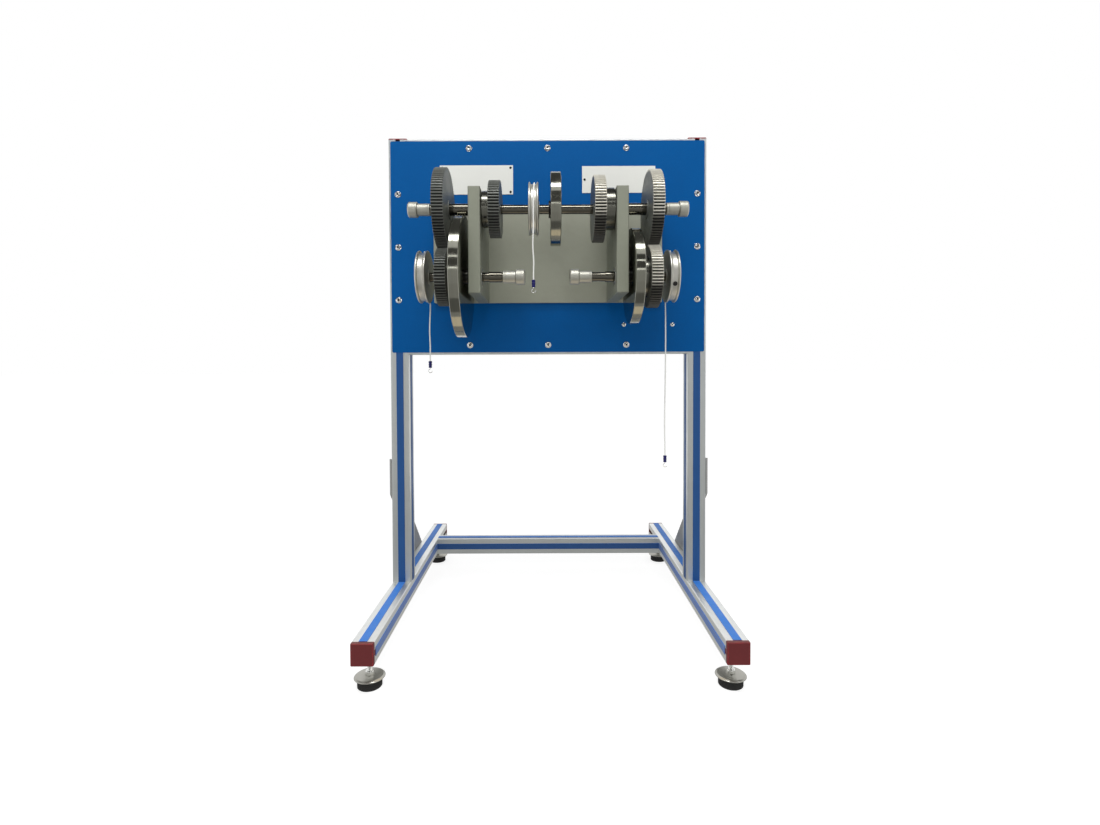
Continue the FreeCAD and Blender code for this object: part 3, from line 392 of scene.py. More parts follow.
# Each finish: its colour's setting, metallic, the roughness where it is smooth and where it is dull, how much
# its marks change its colour, and its marks: the effect, that effect's value, and their depth in millimetres
FINISHES = {
    "anodised_upright": ("frame_aluminium", 1, 0.3, 0.44, 0.1, "drawn", UPRIGHT, 0.012),
    "anodised_fore_and_aft": ("rail_aluminium", 1, 0.3, 0.44, 0.1, "drawn", FORE_AND_AFT, 0.012),
    "anodised_sideways": ("frame_aluminium", 1, 0.3, 0.44, 0.1, "drawn", SIDEWAYS, 0.012),
    "strip_upright": ("strip_blue", 0, 0.32, 0.46, 0.12, "drawn", UPRIGHT, 0.01),
    "strip_base": ("base_strip_blue", 0, 0.3, 0.44, 0.1, "grain", 900, 0.01),
    "moulded_red": ("cap_red", 0, 0.36, 0.5, 0.16, "pebbles", 1400, 0.02),
    "brace_paint": ("brace_grey", 0, 0.36, 0.5, 0.1, "pebbles", 900, 0.02),
    "powder_coat": ("panel_blue", 0, 0.3, 0.42, 0.1, "pebbles", 520, 0.02),
    "hard_coat": ("mount_grey", 0.2, 0.4, 0.56, 0.12, "grain", 1500, 0.012),
    "cheek_coat": ("cheek_grey", 0.2, 0.4, 0.56, 0.12, "grain", 1500, 0.012),
    "label_film": ("label_white", 0, 0.3, 0.42, 0.04, "grain", 800, 0.006),
    "pad_rubber": ("rubber_black", 0, 0.55, 0.78, 0.35, "pebbles", 700, 0.06),
    "cord_fibre": ("cord_white", 0, 0.7, 0.9, 0.05, "grain", 2600, 0.05),
    "crimp_sleeve": ("crimp_navy", 0, 0.3, 0.45, 0.2, "grain", 1500, 0.02),
    "zinc_plate": ("bright_steel", 1, 0.14, 0.24, 0.12, "grain", 1300, 0.004),
    "bright_zinc": ("screw_steel", 1, 0.07, 0.15, 0.08, "grain", 1300, 0.003),
    "pressed_steel": ("dish_steel", 1, 0.22, 0.32, 0.1, "turned", 700, 0.003),
    "black_oxide": ("oxide_black", 1, 0.24, 0.36, 0.25, "turned", 1200, 0.015),
    "gear_faces": ("gear_steel", 0.4, 0.34, 0.46, 0.24, "turned", 1500, 0.02),
    # Painted light: the same gear steel, lighter on the right-hand gears for the reflection they catch
    "bare_gear_faces": ("bare_gear_steel", 0.42, 0.3, 0.42, 0.22, "turned", 1500, 0.02),
    "gear_sides": ("gear_steel", 0.4, 0.34, 0.46, 0.24, "turned", 1500, 0.02),
    "blackened_recess": ("recess_black", 0, 0.42, 0.6, 0.3, "grain", 1100, 0.02),
    "turned_hub": ("hub_steel", 1, 0.14, 0.24, 0.2, "turned", 1500, 0.008),
    "turned_steel": ("flywheel_steel", 1, 0.06, 0.12, 0.16, "turned", 1700, 0.006),
    "ground_steel": ("shaft_steel", 1, 0.05, 0.1, 0.16, "turned", 2300, 0.003),
    "turned_aluminium": ("pulley_aluminium", 1, 0.3, 0.42, 0.1, "turned", 1300, 0.006),
    "satin_aluminium": ("knob_aluminium", 1, 0.42, 0.56, 0.12, "turned", 1800, 0.014),
    "ring_steel": ("bearing_steel", 1, 0.12, 0.24, 0.12, "turned", 2200, 0.006),
    "seal_rubber": ("rubber_black", 0, 0.4, 0.6, 0.3, "turned", 900, 0.03),
}
MARKS = {
    "drawn": ("drawn_lines", "Stretch", "Lines"),
    "turned": ("turning_marks", "Fineness", "Rings"),
    "grain": ("grain", "Scale", "Grain"),
    "pebbles": ("grain", "Scale", "Pebbles"),
}
# What shows at an edge, how strongly, and how far in (mm): bare metal where paint has worn, and on the
# moulded caps a painted glow of light through their edges
EDGE_WEAR_AND_GLOW = {
    # Painted light: the caps' edges glow with light that gets through them
    "moulded_red": ("cap_edge_red", 1, 1.6),
    "brace_paint": ("bright_steel", 0.5, 0.5),
    "powder_coat": ("bright_steel", 0.25, 0.35),
    "hard_coat": ("frame_aluminium", 0.7, 0.5),
    "cheek_coat": ("frame_aluminium", 0.7, 0.5),
    "black_oxide": ("bearing_steel", 0.8, 0.5),
    "gear_faces": ("bearing_steel", 0.75, 0.5),
    "gear_sides": ("bearing_steel", 0.75, 0.5),
    "bare_gear_faces": ("bearing_steel", 0.75, 0.5),
    "turned_steel": ("bearing_steel", 0.9, 0.5),
    "anodised_upright": ("bright_steel", 0.4, 0.5),
    "anodised_fore_and_aft": ("bright_steel", 0.4, 0.5),
    "anodised_sideways": ("bright_steel", 0.4, 0.5),
}
EDGE_WEAR_AND_GLOW_GAIN = 1.6
# How strongly a painted or moulded surface mirrors, where that isn't the usual
USUAL_SHEEN = 0.5
SHEEN = {
    "powder_coat": 0.08, "strip_upright": 0.2, "strip_base": 0.2, "moulded_red": 0.3, "crimp_sleeve": 0.3,
    "brace_paint": 0.35, "hard_coat": 0.35, "cheek_coat": 0.35, "label_film": 0.35,
}
# The soft fuzz of a surface that has one
FUZZ = {"cord_fibre": 0.3}
# Strips painted lighter where they face up, for the light from above, and paler where they face aside, for a painted
# sheen
STRIP_LIGHT_BY_FACING = {"strip_base": {"Up": "faded_blue", "Aside": "pale_blue"}}
# How dark the painted shade makes the teeth of a gear on its low side
LOW_SIDE_SHADE = {"gear_faces": 0.5, "bare_gear_faces": 0.9}
DUST_COLOUR = paint(196, 190, 178)
# How much of the dust stays on a finish that is more metallic than this
DUST_ON_METAL = 0.25
METAL_FROM = 0.3
# How far smudges darken a colour, for a finish whose marks change it as much as possible, and their share in it
SMUDGE_TONE = 0.5
SMUDGE_SHARE = 0.8
# How much smudges, hairlines and dust dull a surface, and how deep hairlines are beside the other marks
DULLED = (0.16, 0.25, 0.5)
HAIRLINE_DEPTH = 0.6


def finish(name):
    """The material of that name, made on its first use."""
    if name in bpy.data.materials:
        return bpy.data.materials[name]
    colours = bpy.context.scene.apparatus_colours
    wear = bpy.context.scene.apparatus_wear
    setting, metallic, smooth, dull, change, kind, value, depth = FINISHES[name]
    base = tuple(getattr(colours, setting))
    material = bpy.data.materials.new(name)
    material.diffuse_color = (*base, 1)
    tree = new_tree(material)
    where = {"Vector": put(tree, "TexCoord").outputs["Object"]}
    group, label, result = MARKS[kind]
    marks = effect(tree, group, where | {label: value})[result]
    smudged = effect(tree, "smudges", where)["Smudges"]
    scratched = effect(tree, "hairlines", where)["Hairlines"]
    dusty = effect(tree, "settled_dust", where)["Dust"]
    settled = wear.dust * (DUST_ON_METAL if metallic > METAL_FROM else 1.0)

    darker, paler = ([min(1, part * by) for part in base] for by in (1 - change, 1 + change))
    shade = tint(tree, marks, darker, paler)
    # Painted light: strips lighter where they face up and paler where they face aside
    for side, lit_colour in STRIP_LIGHT_BY_FACING.get(name, {}).items():
        shade = tint(tree, effect(tree, "facing", {})[side], shade, getattr(colours, lit_colour))
    clouded = tint(tree, 1.0, shade, [1 - SMUDGE_TONE * change] * 3, "MULTIPLY")
    shade = tint(tree, times(tree, smudged, SMUDGE_SHARE), shade, clouded)
    # Worn edges, and on the caps a painted glow of light through the edges
    if name in EDGE_WEAR_AND_GLOW:
        edge_colour, amount, radius = EDGE_WEAR_AND_GLOW[name]
        edges = effect(tree, "edge_wear", where | {"Radius": radius * MM})["Edges"]
        factor = times(tree, edges, amount * wear.edge_wear * EDGE_WEAR_AND_GLOW_GAIN, clamp=True)
        shade = tint(tree, factor, shade, getattr(colours, edge_colour))
    # Painted shade: a gear's low side is darkened towards the shade black
    if name in LOW_SIDE_SHADE:
        low_shade = times(tree, effect(tree, "low_side", where)["Low"], LOW_SIDE_SHADE[name])
        shade = tint(tree, low_shade, shade, colours.recess_black)
    shade = tint(tree, times(tree, dusty, settled), shade, DUST_COLOUR)
    rough = span(tree, marks, 0.0, 1.0, smooth, dull)
    for mask, by, amount in zip((smudged, scratched, dusty), DULLED, (wear.smudges, wear.hairlines, settled)):
        rough = plus(tree, rough, times(tree, mask, by * amount), clamp=True)
    height = sum_up(tree, "SUBTRACT", marks, times(tree, scratched, HAIRLINE_DEPTH * wear.hairlines))
    bump = put(tree, "Bump", {"Height": height, "Distance": depth * MM, "Strength": 1.0})
    shader = put(tree, "BsdfPrincipled", {
        "Base Color": shade, "Roughness": rough, "Normal": bump.outputs[0], "Metallic": metallic,
        "Specular IOR Level": SHEEN.get(name, USUAL_SHEEN), "Sheen Weight": FUZZ.get(name, 0.0)})
    put(tree, "OutputMaterial", {"Surface": shader.outputs[0]}, name="Surface")
    return material


# Mesh building: the profiles are in millimetres, the meshes in metres
BORE = 10.05
TOUCHING = 1e-7
HEXAGON = "hexagon"


def frame_at(point, along, out=None):
    """A place whose own Z points along, and whose own X points out (down where it isn't given)."""
    along = Vector(along).normalized()
    across = Vector(out) if out is not None else (DOWN if abs(along.z) < 0.9 else RIGHT)
    across = (across - along * across.dot(along)).normalized()
    facing_to = Matrix((across, along.cross(across), along)).transposed().to_4x4()
    return Matrix.Translation(Vector(point)) @ facing_to


def on_shaft(train, x=0, way=1):
    """The place on a shaft at x (mm), whose own Z points right, or left where way is -1."""
    return frame_at((x * MM, *AXES[train].yz), RIGHT * way)


def spoke(radius, angle, height=0.0):
    return Vector((radius * math.cos(angle), radius * math.sin(angle), height))


def eased(points, radius, steps, closed):
    """The profile with its corners rounded; a point may carry its own rounding as a third number."""
    made = []
    count = len(points)
    for index, (across, height, *own) in enumerate(points):
        corner = Vector((across, height))
        size = own[0] if own else radius
        if size == 0 or (not closed and index in (0, count - 1)):
            made.append(tuple(corner))
            continue
        sides = []
        for neighbour in (points[index - 1], points[(index + 1) % count]):
            side = Vector(neighbour[:2]) - corner
            sides.append(corner + side.normalized() * min(size, 0.45 * side.length))
        for step in range(steps + 1):
            t = step / steps
            made.append(tuple(sides[0] * (1 - t) ** 2 + corner * 2 * t * (1 - t) + sides[1] * t**2))
    return made


def mirrored(side):
    """A profile whose upper half is given, with its lower half."""
    return side + [(out, -level, *own) for out, level, *own in reversed(side)]


def ring(inner, outer, low, high):
    return [(inner, low), (outer, low), (outer, high), (inner, high)]


def reach(size, angle, hexagonal):
    """How far out the outline is at that angle: a circle, or a hexagon whose corners are at size."""
    if hexagonal:
        return size * math.cos(math.pi / 6) / math.cos(angle % (math.pi / 3) - math.pi / 6)
    return size


def skin(bm, rings, closed=False, capped=False, surface=lambda level, step: 0):
    """Adds the faces between rings of vertices; closed joins the last to the first, capped fills the ends."""
    for level, (low, high) in enumerate(zip(rings, rings[1:] + rings[:1] if closed else rings[1:])):
        count = max(len(low), len(high))
        for step in range(count if count > 1 else 0):
            ways = ((low, step), (low, step + 1), (high, step + 1), (high, step))
            corners = dict.fromkeys(verts[turn % len(verts)] for verts, turn in ways)
            bm.faces.new(list(corners)).material_index = surface(level, step)
    if capped:
        bm.faces.new(list(reversed(rings[0])))
        bm.faces.new(rings[-1])


def turned(bm, outline, ease, segments, place=AT_ORIGIN, closed=True, surface=0, corner_steps=3, sharp=(),
           dark_from=None):
    """Adds a solid turned from an outline of (radius, height) points, with its corners rounded by ease.

    The sharp points follow the outline and keep their corners; each may say that it is a hexagon. From the
    dark_from'th of them the solid takes the object's second surface. Closed joins the last point to the first.
    """
    outline = [tuple(number * MM for number in point) for point in outline]
    profile = eased(outline, ease * MM, corner_steps, closed)
    dark_level = math.inf if dark_from is None else len(profile) + dark_from
    profile += [(radius * MM, height * MM, *shape) for radius, height, *shape in sharp]
    rings = []
    for size, height, *shape in profile:
        rings.append([])
        for step in range(segments if size > TOUCHING else 1):
            angle = 2 * math.pi * step / segments
            rings[-1].append(bm.verts.new(place @ spoke(reach(size, angle, shape), angle, height)))
    skin(bm, rings, closed, surface=lambda level, step: 1 if level >= dark_level else surface)


def tube(bm, path, radius, twist=0.0, depth=0.0):
    """Adds a round bar along a path of points; twist and depth turn it into three laid strands."""
    sides = 12
    side = None
    rings = []
    run = 0.0
    for index, point in enumerate(path):
        before = path[max(index - 1, 0)]
        after = path[min(index + 1, len(path) - 1)]
        along = (after - before).normalized()
        if side is None:
            side = RIGHT if abs(along.x) < 0.9 else along.orthogonal()
        side = (side - along * side.dot(along)).normalized()
        other = along.cross(side)
        run += (point - before).length
        rings.append([])
        for step in range(sides):
            angle = 2 * math.pi * step / sides
            lay = 1.5 * (angle - 2 * math.pi * run / twist) if twist else 0.0
            size = radius * (1 - depth * (1 - abs(math.cos(lay))))
            rings[-1].append(bm.verts.new(point + (side * math.cos(angle) + other * math.sin(angle)) * size))
    skin(bm, rings, capped=True)


def link(name, data):
    """A new object in the scene."""
    made = bpy.data.objects.new(name, data)
    bpy.context.scene.collection.objects.link(made)
    return made


def modify(made, name, kind, **settings):
    modifier = made.modifiers.new(name, kind)
    for setting, value in settings.items():
        setattr(modifier, setting, value)


def weigh(made):
    """Keeps flat faces flat in the shading beside rounded edges."""
    modify(made, "flat_faces", "WEIGHTED_NORMAL", keep_sharp=True, weight=60)


def piece(name, bm, surfaces, body, node=None, place=AT_ORIGIN, sharp=30, flat_faces=True):
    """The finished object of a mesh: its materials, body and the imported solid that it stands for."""
    bmesh.ops.remove_doubles(bm, verts=bm.verts, dist=TOUCHING)
    bmesh.ops.recalc_face_normals(bm, faces=bm.faces)
    mesh = bpy.data.meshes.new(name)
    bm.to_mesh(mesh)
    bm.free()
    mesh.shade_smooth()
    mesh.set_sharp_from_angle(angle=math.radians(sharp))
    made = link(name, mesh)
    made.matrix_world = place
    for surface in surfaces.split():
        mesh.materials.append(finish(surface))
    if flat_faces:
        weigh(made)
    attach(made, body)
    if node:
        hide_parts(node)
    return made


def turned_piece(name, outline, ease, segments, surfaces, body, slot, node=None, place=AT_ORIGIN, sharp=30,
                 **how):
    """A piece that is one turned solid."""
    bm = bmesh.new()
    turned(bm, outline, ease, segments, **how)
    return piece(name, bm, surfaces, body, node, place, sharp)


def keep_solid(name, surface, width, segments=2):
    """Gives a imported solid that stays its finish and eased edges."""
    solid = frame["nodes"][name]
    if solid.material_slots:
        for holder in solid.material_slots:
            holder.material = finish(surface)
    else:
        solid.data.materials.append(finish(surface))
    modify(solid, "joined_faces", "WELD", merge_threshold=0.01 * MM)
    modify(solid, "eased_edges", "BEVEL", width=width, segments=segments, limit_method="ANGLE",
           angle_limit=math.radians(40), use_clamp_overlap=True)
    weigh(solid)


def smooth_line(route, gap):
    """The points, about a gap apart, of the smooth line that follows a route's control points."""
    run = sum((after - before).length for before, after in zip(route, route[1:]))
    curve = bpy.data.curves.new("route", "CURVE")
    curve.dimensions = "3D"
    spline = curve.splines.new("NURBS")
    spline.points.add(len(route) - 1)
    for point, place in zip(spline.points, route):
        point.co = (*place, 1)
    spline.order_u = 3
    spline.use_endpoint_u = True
    spline.resolution_u = max(4, round(run / gap / (len(route) - 2)))
    holder = bpy.data.objects.new("route", curve)
    mesh = bpy.data.meshes.new_from_object(holder)
    points = [vertex.co.copy() for vertex in mesh.vertices]
    bpy.data.objects.remove(holder)
    bpy.data.curves.remove(curve)
    bpy.data.meshes.remove(mesh)
    return points


# The surfaces of a screw and of the socket in its head, whose dark is painted shade
ZINC_SCREW = "bright_zinc blackened_recess"
BLACK_SCREW = "black_oxide blackened_recess"


def socket_screw(bm, place, head, head_height, key, shank, shank_length, flange=0, rise=0):
    """Adds a button screw with a hexagonal socket painted dark as shade, its seat at the place and its head along own
    Z.

    The lengths are in millimetres; rise is the height of its flange.
    """
    outline = [
        (0, -shank_length), (shank * 0.8, -shank_length), (shank, -shank_length + shank * 0.25), (shank, 0, 0)]
    if flange:
        outline += [(flange, 0), (flange, rise * 0.75), (head * 1.08, rise)]
    top = rise + head_height
    outline += [
        (head, rise), (head, rise + head_height * 0.25), (head * 0.86, rise + head_height * 0.72, head * 0.3),
        (head * 0.58, top, head * 0.1), (key * 1.12, top),
    ]
    bottom = rise + head_height * 0.3
    socket = [(key, top - 0.2, HEXAGON), (key, bottom, HEXAGON), (0, bottom - key * 0.35)]
    turned(bm, outline, 0.25, 24, place, closed=False, sharp=socket, dark_from=0)


def front_screws(name, spots, twist, measures, surfaces, solid, node=None):
    """A piece of screws at (x, z) spots on a solid's front, each turned further than the last by a twist."""
    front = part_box(solid)[0].y
    bm = bmesh.new()
    for number, (x, z) in enumerate(spots):
        place = frame_at((x, front, z), FRONT) @ Matrix.Rotation(number * twist, 4, "Z")
        socket_screw(bm, place, *measures)
    piece(name, bm, surfaces, "stand", node)


def set_screw(bm, point, out, own_x, radius, depth):
    """Adds a headless screw that looks out of its hole: a raised lip, and a well and hexagonal socket painted dark as
    shade.
    """
    profile = [
        (0, -depth), (radius, -depth), (radius, 0.3), (radius * 0.93, 0.42), (radius * 0.86, 0.38),
        (radius * 0.8, 0.22), (radius * 0.66, 0.22), (radius * 0.6, 0.3), (radius * 0.55, 0.3, HEXAGON),
        (radius * 0.5, 0.12, HEXAGON), (0, 0.1),
    ]
    turned(bm, (), 0, 24, frame_at(point, out, own_x), closed=False, sharp=profile, dark_from=4)


def middle(solid):
    """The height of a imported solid's middle."""
    low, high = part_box(solid)
    return (low.z + high.z) / 2


# Operators, in the order in which they run
class PieceOperator:
    bl_options = {"REGISTER", "UNDO"}

    def execute(self, context):
        self.make(context.scene.apparatus_sizes)
        return {"FINISHED"}


# Each pulley: its middle (mm) and its set screw's angle, where it has one that shows
PULLEYS = {"main": (-31, None), "left": (-266, 2.2), "right": (262, -1.13)}
# Each cord: the way from the axis to its tangent, free length (mm), winding angle, the winding that only shows
# when the pulley has turned, how far it stands to the side at the winding's far end (mm), and where its free run
# sways: how far down and how far sideways (mm)
CORDS = {
    "main": (FRONT, 158.5, 140, 0, 3.4, ((50, 0.3), (88, -1.8), (118, 0.8))),
    "left": (BACK, 180, 98, 70, 1.6, ((60, 1.7), (108, -1.4), (144, 0.4))),
    "right": (BACK, 395, 98, 50, -1.6, ((110, 1.5), (220, 0.8), (320, -1.2))),
}
# How deep the gaps between its strands are, as a part of its radius, and how far apart its mesh's rings are
STRAND_DEPTH = 0.16
CORD_GAP = 1.2 * MM


class APPARATUS_OT_cords(PieceOperator, bpy.types.Operator):
    """Twisted cords on their pulleys, crimped sleeves and bent wire hooks"""

    bl_idname = "apparatus.cords"
    bl_label = "Cords"

    def make(self, sizes):
        for name, row in CORDS.items():
            self.cord(name, sizes, *row)

    def cord(self, name, sizes, out, free, winding, hidden, aside, sway):
        middle_of_pulley = Vector((PULLEYS[name][0] * MM, *AXES[name].yz))
        tangent = middle_of_pulley + out * sizes.cord_line
        end = tangent + DOWN * free * MM
        radius = sizes.cord_diameter / 2
        ferrule, hook = self.ferrule(name, end), self.hook(name, end, sizes)
        route = [tangent, tangent + DOWN * 18 * MM]
        route += [tangent + DOWN * down * MM + RIGHT * move * MM for down, move in sway]
        route += [end + UP * 18 * MM, end]
        path = smooth_line(route, CORD_GAP)
        bm = bmesh.new()
        tube(bm, path, radius, sizes.cord_twist, STRAND_DEPTH)
        hanging = piece(f"{name}_cord_run", bm, "cord_fibre", "stand", f"{name}_cord",
                        sharp=60, flat_faces=False)
        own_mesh(hanging)
        for part, start, size, body, node in (
            ("winding", 0, radius, "stand", "cord_wraps"),
            ("winding_turning", -hidden, radius * 0.95, f"{name}_shaft_set", None),
        ):
            bm = bmesh.new()
            line = self.wound_line(sizes.cord_line, middle_of_pulley, out, start, winding, aside)
            tube(bm, line, size, sizes.cord_twist, STRAND_DEPTH)
            piece(f"{name}_{part}", bm, "cord_fibre", body, node, sharp=60, flat_faces=False)

    def wound_line(self, radius, centre, out, start, stop, aside):
        """The line of the cord in its groove, from start to stop degrees up and over from its free run."""
        steps = max(3, round((stop - start) / 28))
        half = math.radians(stop - start) / steps / 2
        stops = [(2 * step + 1, radius / math.cos(half)) for step in range(steps)]
        route = []
        for count, size in [(0, radius), *stops, (2 * steps, radius)]:
            angle = math.radians(start) + half * count
            side = RIGHT * aside * MM * max(0, math.degrees(angle)) / stop
            route.append(centre + side + (out * math.cos(angle) + UP * math.sin(angle)) * size)
        return smooth_line(route, CORD_GAP)

    def ferrule(self, name, end):
        outline = [
            (1.5, 0.4), (3.2, 0.4), (3.8, 0), (3.95, -3.2, 0.8), (3.3, -4.3, 0.9), (3.3, -5.6, 0.9),
            (3.95, -6.8, 0.9), (3.95, -8.2, 0.8), (3.3, -9.4, 0.9), (3.3, -10.8, 0.9), (3.8, -12, 0.8),
            (3.4, -14.7), (1.2, -15), (0, -15), (0, 0.4),
        ]
        return turned_piece(f"{name}_crimp", outline, 0.3, 32, "crimp_sleeve", f"{name}_hook_set", "crimp_navy",
                            f"{name}_ferrule", Matrix.Translation(end), sharp=50, closed=False)

    def hook(self, name, end, sizes):
        size = 4 * MM
        top = end + DOWN * 15 * MM
        centre = top + DOWN * (2.75 * MM + size)
        steps = 8
        bend = math.radians(285)
        half = bend / steps / 2
        stops = [(half * (2 * step + 1), size / math.cos(half)) for step in range(steps)]
        route = [top + UP * 3 * MM, top, top + DOWN * 1.6 * MM]
        for angle, radius in [*stops, (bend, size)]:
            route.append(centre + (UP * math.cos(angle) + LEFT * math.sin(angle)) * radius)
        bm = bmesh.new()
        tube(bm, smooth_line(route, 0.5 * MM), sizes.wire_diameter / 2)
        return piece(f"{name}_wire_hook", bm, "bright_zinc", f"{name}_hook_set", f"{name}_hook",
                     sharp=60, flat_faces=False)


class APPARATUS_OT_bars(PieceOperator, bpy.types.Operator):
    """Slotted aluminium bars with their drawn lines, eased edges and cover strips"""

    bl_idname = "apparatus.bars"
    bl_label = "Slotted bars"

    def make(self, sizes):
        for surface, names in (
            ("anodised_upright", "left_column right_column"),
            ("anodised_fore_and_aft", "left_foot_rail right_foot_rail"),
            ("anodised_sideways", "top_crossbar bottom_crossbar rear_beam"),
            ("zinc_plate", "slot_nuts"),
        ):
            for name in names.split():
                keep_solid(name, surface, sizes.bar_edge)
        keep_solid("column_cover_strips", "strip_upright", sizes.bar_edge / 2)
        keep_solid("base_cover_strips", "strip_base", sizes.bar_edge / 2)


class APPARATUS_OT_caps(PieceOperator, bpy.types.Operator):
    """Moulded red end caps, with the tongues that fill the slots behind them"""

    bl_idname = "apparatus.caps"
    bl_label = "End caps"

    def make(self, sizes):
        keep_solid("rail_end_caps", "moulded_red", 0.7 * MM, 3)
        keep_solid("column_caps", "moulded_red", 0.5 * MM, 3)
        bm = bmesh.new()
        for name, inward in (("left_foot_rail", 1), ("right_foot_rail", -1)):
            low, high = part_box(name)
            face = high.x if inward > 0 else low.x
            tongue = bmesh.ops.create_cube(bm, size=1)["verts"]
            centre = Vector((face - inward * 1.6 * MM, low.y + 2.6 * MM, middle(name)))
            bmesh.ops.scale(bm, vec=(3.4 * MM, 5.2 * MM, 10.4 * MM), verts=tongue)
            bmesh.ops.translate(bm, vec=centre, verts=tongue)
        bmesh.ops.bevel(bm, geom=list(bm.edges), offset=0.8 * MM, segments=2, profile=0.5, affect="EDGES")
        piece("cap_tongues", bm, "moulded_red", "stand")


class APPARATUS_OT_braces(PieceOperator, bpy.types.Operator):
    """Painted diagonal braces and the socket screws that hold them"""

    bl_idname = "apparatus.braces"
    bl_label = "Braces"

    def make(self, sizes):
        bm = bmesh.new()
        for side, name in enumerate(("left_brace", "right_brace")):
            keep_solid(name, "brace_paint", 0.6 * MM)
            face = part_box(name)[side].x
            for y, z in self.bolt_places():
                socket_screw(bm, frame_at((face, y, z), (LEFT, RIGHT)[side]), 7.5, 4.4, 3.2, 4, 16)
        piece("brace_screws", bm, ZINC_SCREW, "stand", "brace_bolts")

    def bolt_places(self):
        """Where a brace's bolts are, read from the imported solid: the middles of its separate bolts."""
        groups = []
        for vertex in frame["nodes"]["brace_bolts"].data.vertices:
            point = vertex.co
            if point.x <= 0:
                continue
            for group in groups:
                if (group[0] - point.yz).length < 16 * MM:
                    group.append(point.yz)
                    break
            else:
                groups.append([point.yz])
        return [[(min(values) + max(values)) / 2 for values in zip(*group)] for group in groups]


class APPARATUS_OT_feet(PieceOperator, bpy.types.Operator):
    """Levelling feet: ribbed rubber pads, pressed dishes, threaded stems and nuts"""

    bl_idname = "apparatus.feet"
    bl_label = "Feet"

    def make(self, sizes):
        low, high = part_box("foot_pads")
        pad = 24.5 * MM
        spots = [Vector((x, y, 0)) for x in (low.x + pad, high.x - pad) for y in (low.y + pad, high.y - pad)]
        for number, spot in enumerate(spots):
            place = Matrix.Translation(spot)
            self.rubber(number, place)
            self.dish(number, place)
            self.stem(number, place, sizes)
        for part, solid in (("pad", "foot_pads"), ("dish", "foot_dishes"), ("stem", "foot_stems")):
            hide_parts(solid)

    def rubber(self, number, place):
        outline = [(0, 0), (9, 0), (9.6, 1), (22.5, 1), (23, 0), (24.5, 1.4)]
        for rib in range(4):
            level = 3.2 + 3.4 * rib
            outline += [(24.5, level), (23.9, level + 0.5), (23.9, level + 1), (24.5, level + 1.5)]
        outline += [(24.5, 17.6), (24.1, 18), (0, 18)]
        turned_piece(f"foot_pad_{number}", outline, 0.4, 96, "pad_rubber", "stand", "pad_rubber", place=place,
                     closed=False, corner_steps=2)

    def dish(self, number, place):
        outline = [
            (0, 18), (24.5, 18, 0.3), (29.2, 18.4), (31, 19.5), (30.6, 20.6), (27.4, 23), (19, 23.5, 3),
            (11.5, 23.8), (9, 23.9), (0, 23.9),
        ]
        turned_piece(f"foot_dish_{number}", outline, 1.2, 128, "pressed_steel", "stand", "foot_steel",
                     place=place, sharp=50, closed=False, corner_steps=4)

    def stem(self, number, place, sizes):
        bm = bmesh.new()
        corner = 9.5
        flat = corner * 0.866
        for level in (24, 56):
            nut = [
                (5.2, level), (flat * 0.96, level), (corner * 0.97, level + 0.9, HEXAGON),
                (corner * 0.985, level + 1.4, HEXAGON), (corner * 0.985, level + 6.6, HEXAGON),
                (corner * 0.97, level + 7.1, HEXAGON), (flat * 0.96, level + 8), (5.9, level + 8),
                (5.2, level + 7.3),
            ]
            turned(bm, (), 0, 48, Matrix.Rotation(0.4 * number + 0.03 * level, 4, "Z"), sharp=nut)
        self.thread(bm, sizes, 24 * MM, 72 * MM)
        piece(f"foot_stem_{number}", bm, "bright_zinc", "stand", place=place)

    def thread(self, bm, sizes, low, high):
        """Adds a threaded rod: the crest runs up as a helix."""
        steps = 24
        radius = 5 * MM
        rows = round((high - low) / sizes.thread_pitch * 6)
        rings = []
        for row in range(rows + 1):
            level = low + (high - low) * row / rows
            rings.append([])
            for step in range(steps):
                turns = level / sizes.thread_pitch - step / steps
                valley = abs((turns % 1) * 2 - 1)
                size = radius - sizes.thread_depth * min(1, max(0, 1.3 * valley - 0.15))
                rings[-1].append(bm.verts.new(spoke(size, 2 * math.pi * step / steps, level)))
        skin(bm, rings, capped=True)


class APPARATUS_OT_panel(PieceOperator, bpy.types.Operator):
    """Blue steel panel, its flanged socket screws and two spare small screws"""

    bl_idname = "apparatus.panel"
    bl_label = "Panel"

    def make(self, sizes):
        keep_solid("front_panel", "powder_coat", sizes.bar_edge)
        mid = middle("front_panel")
        spots = [(x * MM, mid + z * MM) for x in (-190, 0, 190) for z in (-237.5, 237.5)]
        spots += [(x * MM, mid + z * MM) for x in (-362.5, 362.5) for z in (-127.5, 0, 127.5)]
        front_screws("panel_screw_set", spots, 0.7, (5.2, 3.4, 2.9, 3, 14, 7.5, 1.2), ZINC_SCREW, "front_panel",
                     node="panel_screws")
        spots = [(x * MM, 740 * MM) for x in (184.5, 302.5)]
        front_screws("spare_panel_screws", spots, 0.9, (3.6, 2.2, 1.9, 1.9, 1.8, 5, 0.8), ZINC_SCREW,
                     "front_panel")


class APPARATUS_OT_labels(PieceOperator, bpy.types.Operator):
    """Blank label plates and the small screws in their corners"""

    bl_idname = "apparatus.labels"
    bl_label = "Label plates"

    def make(self, sizes):
        keep_solid("label_plates", "label_film", 0.3 * MM)
        mid = middle("label_plates")
        spots = [(x * MM, mid + z * MM) for x in (-254, -89.5) for z in (-29, 29)]
        spots += [(89.5 * MM, mid), (254.5 * MM, mid)]
        front_screws("label_screws", spots, 1.1, (2.9, 1.6, 1.25, 1.2, 0.9), BLACK_SCREW, "label_plates")


